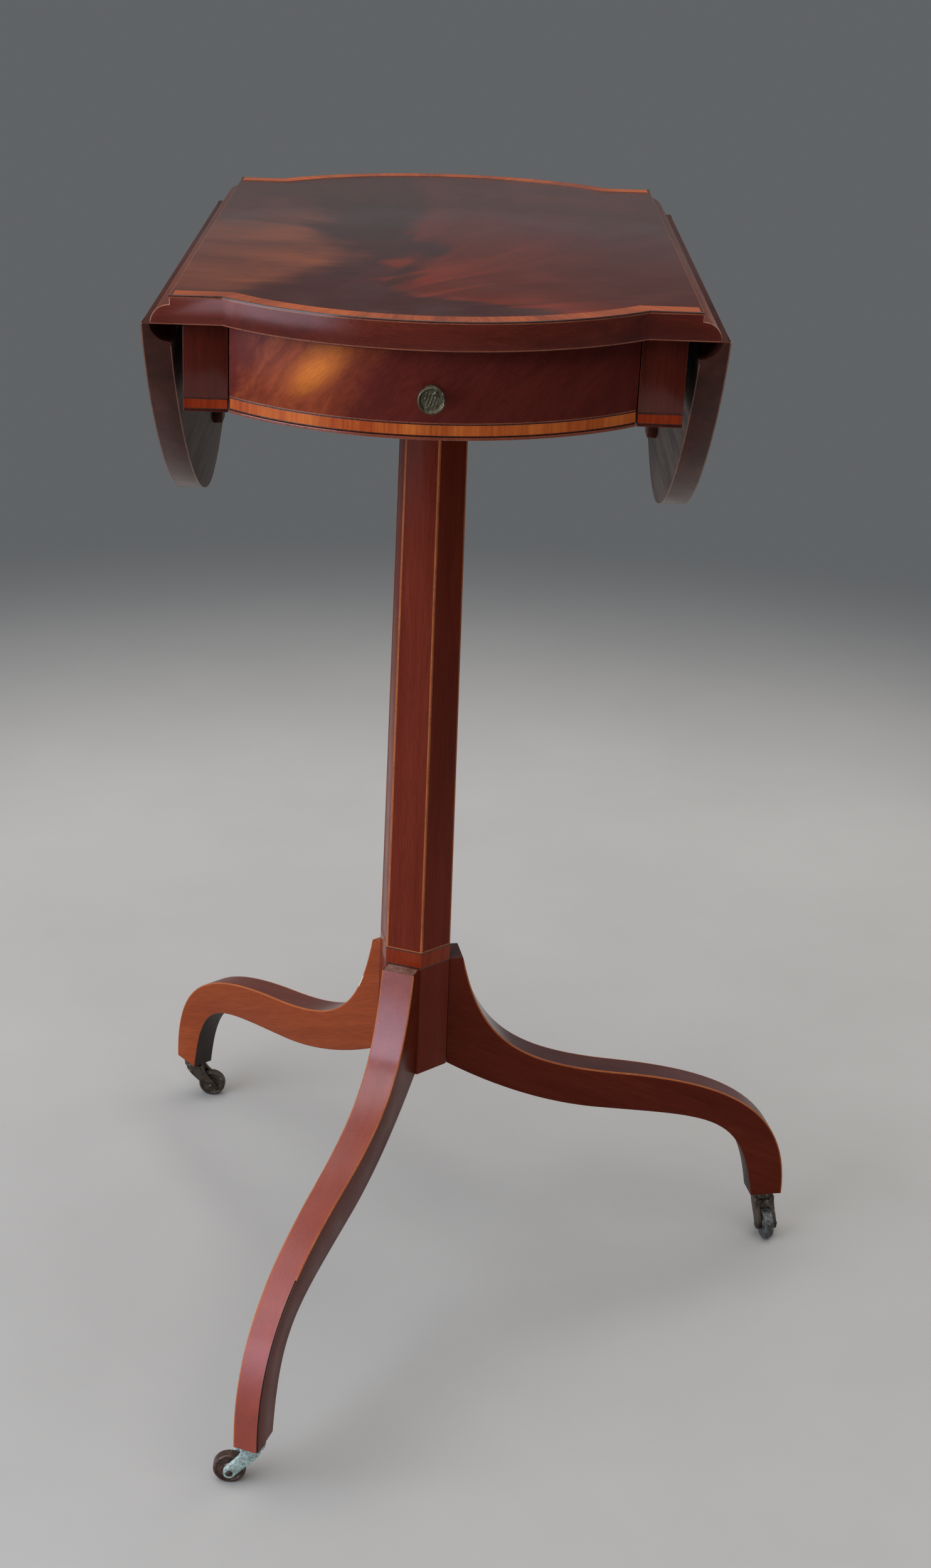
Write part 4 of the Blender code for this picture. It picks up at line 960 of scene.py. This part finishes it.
def leg(name, turn):
    """A cyma-curved leg. Its strings are strips of its own surface, and one may be lost or chipped."""
    outwards, across = direction(turn), direction(turn + pi / 2)
    lost_from, chipped = STRING_LOST_FROM.get(name, 9.0), STRING_CHIPPED.get(name, (9.0, 9.0))
    shoulder = column_face(LEG_TOP) + FIT
    inner_foot = (column_face(COLUMN_FOOT) + FIT, COLUMN_FOOT)
    top = leg_line((shoulder + LEG_SHOULDER, LEG_TOP), LEG_UPPER_SHARES, (LEG_REACH, CASTER_HEIGHT))
    under = leg_line(inner_foot, LEG_LOWER_SHARES, (LEG_REACH - FOOT_LENGTH, CASTER_HEIGHT))
    under[0] = tuple(0.5 * (a + b) for a, b in zip(under[0], under[1]))
    rows = list(zip(top, outward(top), under, outward(under, -1)))

    # Stations: top point and its outward direction, under point and its own, progress
    stations = [((shoulder, LEG_TOP), (0.0, 1.0), inner_foot, rows[0][3], 0.0),
                ((top[0][0] - 0.0002, LEG_TOP), (0.0, 1.0), *rows[0][2:], 0.0)]
    for index, row in enumerate(rows[1:], 1):
        progress = index / LEG_STEPS
        stations.append((*row, progress))
        if progress <= lost_from < (index + 1) / LEG_STEPS:
            past = [tuple(0.97 * u + 0.03 * v for u, v in zip(*pair)) for pair in zip(row, rows[index + 1])]
            stations.append((*past, lost_from + 0.001))

    def edge(half, corner, base, out):
        """Points round a long edge at half the width, from pairs of inset and depth."""
        side = 1 if half > 0 else -1
        return [AXIS + outwards * (base[0] - out[0] * depth) + across * (half - side * inset)
                + UP * (base[1] - out[1] * depth) for inset, depth in corner]

    wide, soft = LEG_STRING, SOFT_EDGE
    plain_corner = ((0.0, soft), (0.3 * soft, 0.3 * soft), (soft, 0.0))
    strung = ((0.0, wide), *plain_corner, (wide, 0.0))
    bared = ((0.0, wide), (0.5 * wide, wide), (wide, wide), (wide, 0.5 * wide), (wide, 0.0))
    rings = []
    for a, a_out, b, b_out, progress in stations:
        share = (a[0] - inner_foot[0]) / (LEG_REACH - inner_foot[0])
        half = (LEG_WIDTH + (FOOT_WIDTH - LEG_WIDTH) * share) / 2
        far = bared if progress > lost_from else strung
        rings.append(edge(-half, strung, a, a_out) + edge(half, far[::-1], a, a_out)
                     + edge(half, plain_corner, b, b_out) + edge(-half, plain_corner[::-1], b, b_out))

    def pick(step, place):
        progress = stations[step + 1][4]
        if place == 4:
            return 1 if step else 5
        if place == 12:
            return 6
        if place in (10, 11, 13, 14):
            return 4
        if place in (5, 6, 7, 8) and chipped[0] < progress < chipped[1]:
            return 7
        if place in (5, 6, 7, 8) and progress > lost_from:
            return 3
        return 2 if step and place < 9 else 0

    looks = ["leg_side_" + name, "leg_top_" + name, "string", "rebate", "soft_edge", "leg_facet_" + name,
             "leg_under_" + name, "chip"]
    shade(sweep("shown_leg_" + name, rings, looks, pick=pick, hides="leg_" + name).data, radians(24))
    face_x = column_face(COLUMN_FOOT)
    neck, tail = TONGUE_NECK / 2, TONGUE_TAIL / 2
    plan = [(face_x - TONGUE_DEPTH, -tail), (face_x, -neck), (face_x + TONGUE_ROOT, -neck)]
    plan += [(r, -w) for r, w in reversed(plan)]
    rings = [[AXIS + outwards * r + across * w + UP * z for r, w in plan]
             for z in (COLUMN_FOOT + FIT, LEG_TOP - TONGUE_DROP)]
    sweep("leg_tongue_" + name, rings, ["leg_side_" + name])


# Every leg gets its own copies of the looks, in tones that have its light and shade painted in
for number, (name, (lit_side_tones, lit_top_tones, lit_cut_tones)) in enumerate(LEG_PAINTED_LIGHT_TONES.items()):
    turn = COLUMN_TURN + radians(120.0 * number)
    run = direction(turn) * 0.9 - UP * 0.42
    wood("leg_side_" + name, lit_side_tones, run, 20.0 + number, shine=0.04, pores=0.2)
    wood("leg_top_" + name, lit_top_tones, run, 30.0 + number, coat=0.1, shine=0.9, tint=(0.92, 0.78, 0.93),
         dull_below=DULL_BELOW)
    wood("leg_under_" + name, LEG_UNDER, run, 40.0 + number, gloss=0.5)
    plain("leg_facet_" + name, *lit_cut_tones, 160.0, 0.3, coat=0.2, relief=0.06)
    leg(name, turn)


# Knob: a turned body with a rim and a chased rosette

KNOB_SHARES = (
    (0.0, 0.93), (0.16, 0.935), (0.3, 0.925), (0.4, 0.93), (0.5, 0.92), (0.6, 0.915), (0.68, 0.91),
    (0.74, 0.915), (0.78, 0.95), (0.83, 0.985), (0.89, 1.0), (0.95, 0.985), (0.99, 0.94), (1.0, 0.88),
    (0.99, 0.8), (0.95, 0.73), (0.86, 0.66), (0.68, 0.59), (0.52, 0.5), (0.43, 0.4), (0.42, 0.32),
    (0.46, 0.22), (0.58, 0.15), (0.7, 0.13), (0.74, 0.09), (0.74, 0.05), (0.7, 0.0), (0.0, 0.0),
)
ROSETTE_SHARE = 0.77


def chased(radius, turn):
    """Height of the chasing on the knob's face: six leaves, a lattice and a ring of beads."""
    share = radius / KNOB_RADIUS
    leaves = max(0.0, cos(6 * turn)) * exp(-((share - 0.64) / 0.09) ** 2)
    x, y = radius * cos(turn + 0.3), radius * sin(turn + 0.3)
    lattice = 0.5 * (cos(x * 4000) + cos(y * 4000)) * exp(-(share / 0.5) ** 6)
    beads = (0.5 + 0.5 * cos(24 * turn)) * exp(-((share - 0.73) / 0.03) ** 2)
    return 0.00034 * leaves + 0.0003 * lattice + 0.00016 * beads


def knob():
    low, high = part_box("drawer_knob")
    centre = ((low.x + high.x) / 2, high.y, (low.z + high.z) / 2)
    profile = [((r0 + (r1 - r0) * share) * KNOB_RADIUS, (z0 + (z1 - z0) * share) * KNOB_LENGTH)
               for (r0, z0), (r1, z1) in zip(KNOB_SHARES, KNOB_SHARES[1:])
               for share in (0.0, 0.25, 0.5, 0.75)]
    profile.append((0.0, 0.0))
    made = lathe("shown_knob", profile, centre, (0.0, -1.0, 0.0), "knob_brass", "drawer", "drawer_knob", 144)
    for vertex in made.data.vertices:
        x, z = vertex.co.x - centre[0], vertex.co.z - centre[2]
        radius = hypot(x, z)
        if vertex.co.y < centre[1] - 0.9 * KNOB_LENGTH and radius < ROSETTE_SHARE * KNOB_RADIUS:
            vertex.co.y -= chased(radius, atan2(z, x))
    shade(made.data, radians(50))


knob()


# Casters

# Side view of the web between a yoke's cheeks, in millimetres along from the swivel and up from the floor
WEB_LEADING = ((-4.2, 24.2), (-3.4, 21.4), (-1.0, 18.9), (1.9, 17.3), (4.4, 15.9))
WEB_TRAILING = ((8.8, 19.7), (8.0, 21.3), (7.0, 22.9), (6.0, 24.2))
WEB_ANGLES = (148, 141, 133, 125)
WEB_CLEARANCE = 0.0007
WEB_HOLLOW = 0.0011

# A wheel's half section from its bore to its tread: radius, and how far inside the cheek's plane
WHEEL_SECTION = ((0.0018, 0.0), (0.0034, 0.0), (0.0038, 0.0004), (0.0042, 0.0009), (0.0075, 0.0009),
                 (0.0079, 0.0006), (0.0083, 0.0002), (0.0088, 0.0001))
TREAD_ROUND = 0.0012
TREAD_INSET = 0.0013


def web(name, look):
    """The saddle that joins a yoke's cheeks over its wheel."""
    foot, hub = (Vector(JOINTS[joint + name]["pos_m"]) for joint in ("caster_swivel_", "wheel_roll_"))
    along = (hub - foot).xy.to_3d().normalized()
    trail, clear = (hub - foot).xy.length, WHEEL_RADIUS + WEB_CLEARANCE
    rim = [(trail + clear * cos(radians(a)), hub.z + clear * sin(radians(a)))
           for a in WEB_ANGLES]
    rings = []
    for share in (step / 4 - 1 for step in range(9)):
        hollow = WEB_HOLLOW * (1 - share ** 2)
        side = [(a / 1000 + hollow, z / 1000) for a, z in WEB_LEADING] + rim
        side += [(a / 1000 - hollow, z / 1000) for a, z in WEB_TRAILING]
        lateral = UP.cross(along) * share * (WHEEL_WIDTH / 2 + WEB_CLEARANCE)
        rings.append([foot.xy.to_3d() + along * a + UP * z + lateral for a, z in side])
    sweep("yoke_web_" + name, rings, [look], "swivel_" + name, "brass")


def wheel_profile():
    half = WHEEL_WIDTH / 2
    profile = [(radius, half - inset) for radius, inset in WHEEL_SECTION]
    for angle in (radians(a) for a in range(0, 91, 15)):
        profile.append((WHEEL_RADIUS - TREAD_ROUND + TREAD_ROUND * sin(angle),
                        half - TREAD_INSET + TREAD_ROUND * cos(angle)))
    profile += [(radius, -height) for radius, height in reversed(profile)]
    return profile + profile[:1]


for name, yoke_look, wheel_look in (("front", "brass_green", "wheel_brown"),
                                    ("left", "brass_dark", "brass_dark"),
                                    ("right", "brass_dark", "wheel_grey")):
    softened("caster_yoke_" + name, [yoke_look, yoke_look], 0.0005, 1, "swivel_" + name, "brass")
    web(name, yoke_look)
    joint = JOINTS["wheel_roll_" + name]
    lathe("shown_wheel_" + name, wheel_profile(), joint["pos_m"], joint["axis"], wheel_look,
          "wheel_" + name, "caster_wheel_" + name)


# Floor, pale round the stand, that passes into the grey of the world further off

BACKGROUND = (0.118, 0.124, 0.13, 1.0)
FLOOR_REACH = 6.0
FLOOR_CELLS = 24


def studio():
    paint = Paint("studio", Roughness=0.85, Specular_IOR_Level=0.2)
    mottle = paint.noise(3.0, 6.0, 0.6)
    paint.finish(paint.ramp(mottle, (0.3, (0.385, 0.375, 0.365)), (0.7, (0.425, 0.415, 0.405))))
    x, y, _ = paint.parts()
    rays = paint.node("LightPath").outputs
    seen = paint.calc("MAXIMUM", rays["Is Camera Ray"],
                      paint.calc("MAXIMUM", rays["Is Glossy Ray"], rays["Is Transmission Ray"]))
    glow = paint.node("Emission", BACKGROUND)
    share = paint.span(paint.reach(x, y), 0.7, 1.7) * seen
    mixed = paint.node("MixShader", share, paint.shader.outputs[0], glow.outputs[0])
    paint.fill(paint.tree.nodes["Material Output"], Surface=mixed.outputs[0])
    steps = [FLOOR_REACH * (2 * step / FLOOR_CELLS - 1) for step in range(FLOOR_CELLS + 1)]
    mesh = bpy.data.meshes.new("studio")
    mesh.from_pydata([(x, y, 0.0) for y in steps for x in steps], [], grid(len(steps), len(steps))[1])
    coat(mesh, "studio")
    linked("studio", mesh)


studio()


# Lights

def lamp(name, place, aim, size, power, colour):
    data = bpy.data.lights.new(name, "AREA")
    data.shape = "RECTANGLE"
    data.size, data.size_y = size
    data.energy = power
    data.color = colour
    item = linked(name, data)
    item.location = place
    item.rotation_euler = (Vector(aim) - Vector(place)).to_track_quat("-Z", "Y").to_euler()


lamp("window", (-1.91, -1.1, 1.06), (0.0, 0.0, 0.8), (1.9, 1.7), 46.0, (0.78, 0.86, 1.0))
lamp("overhead", (-0.3, -0.2, 3.8), (0.0, 0.0, 0.3), (5.4, 5.4), 205.0, (1.0, 0.98, 0.95))
lamp("fill", (2.0, 1.5, 1.5), (0.0, 0.0, 0.5), (1.8, 1.6), 12.0, (1.0, 0.98, 0.95))
world = bpy.data.worlds.new("studio_light")
world.use_nodes = True
world.node_tree.nodes["Background"].inputs["Color"].default_value = BACKGROUND
SCENE.world = world
SCENE.view_settings.view_transform = "Standard"


# Camera, at the photograph's viewing angle

IMAGE_WIDTH, IMAGE_HEIGHT = 1484, 2500
FOCAL_PIXELS = 3584.4
CENTRE_PIXELS = (580.2, 1243.4)
EYE = Vector((0.0092, -1.314, 0.9288))
YAW, PITCH, ROLL = (radians(angle) for angle in (-1.9837, -23.5387, 1.4779))

lens = bpy.data.cameras.new("camera")
lens.sensor_fit = "VERTICAL"
lens.sensor_height = 24.0
lens.lens = FOCAL_PIXELS / IMAGE_HEIGHT * lens.sensor_height
lens.shift_x = (IMAGE_WIDTH / 2 - CENTRE_PIXELS[0]) / IMAGE_HEIGHT
lens.shift_y = (CENTRE_PIXELS[1] - IMAGE_HEIGHT / 2) / IMAGE_HEIGHT
camera = linked("camera", lens)
camera.matrix_world = (Matrix.Translation(AXIS + EYE) @ Matrix.Rotation(-YAW, 4, "Z")
                       @ Matrix.Rotation(pi / 2 + PITCH, 4, "X") @ Matrix.Rotation(ROLL, 4, "Z"))
SCENE.camera = camera
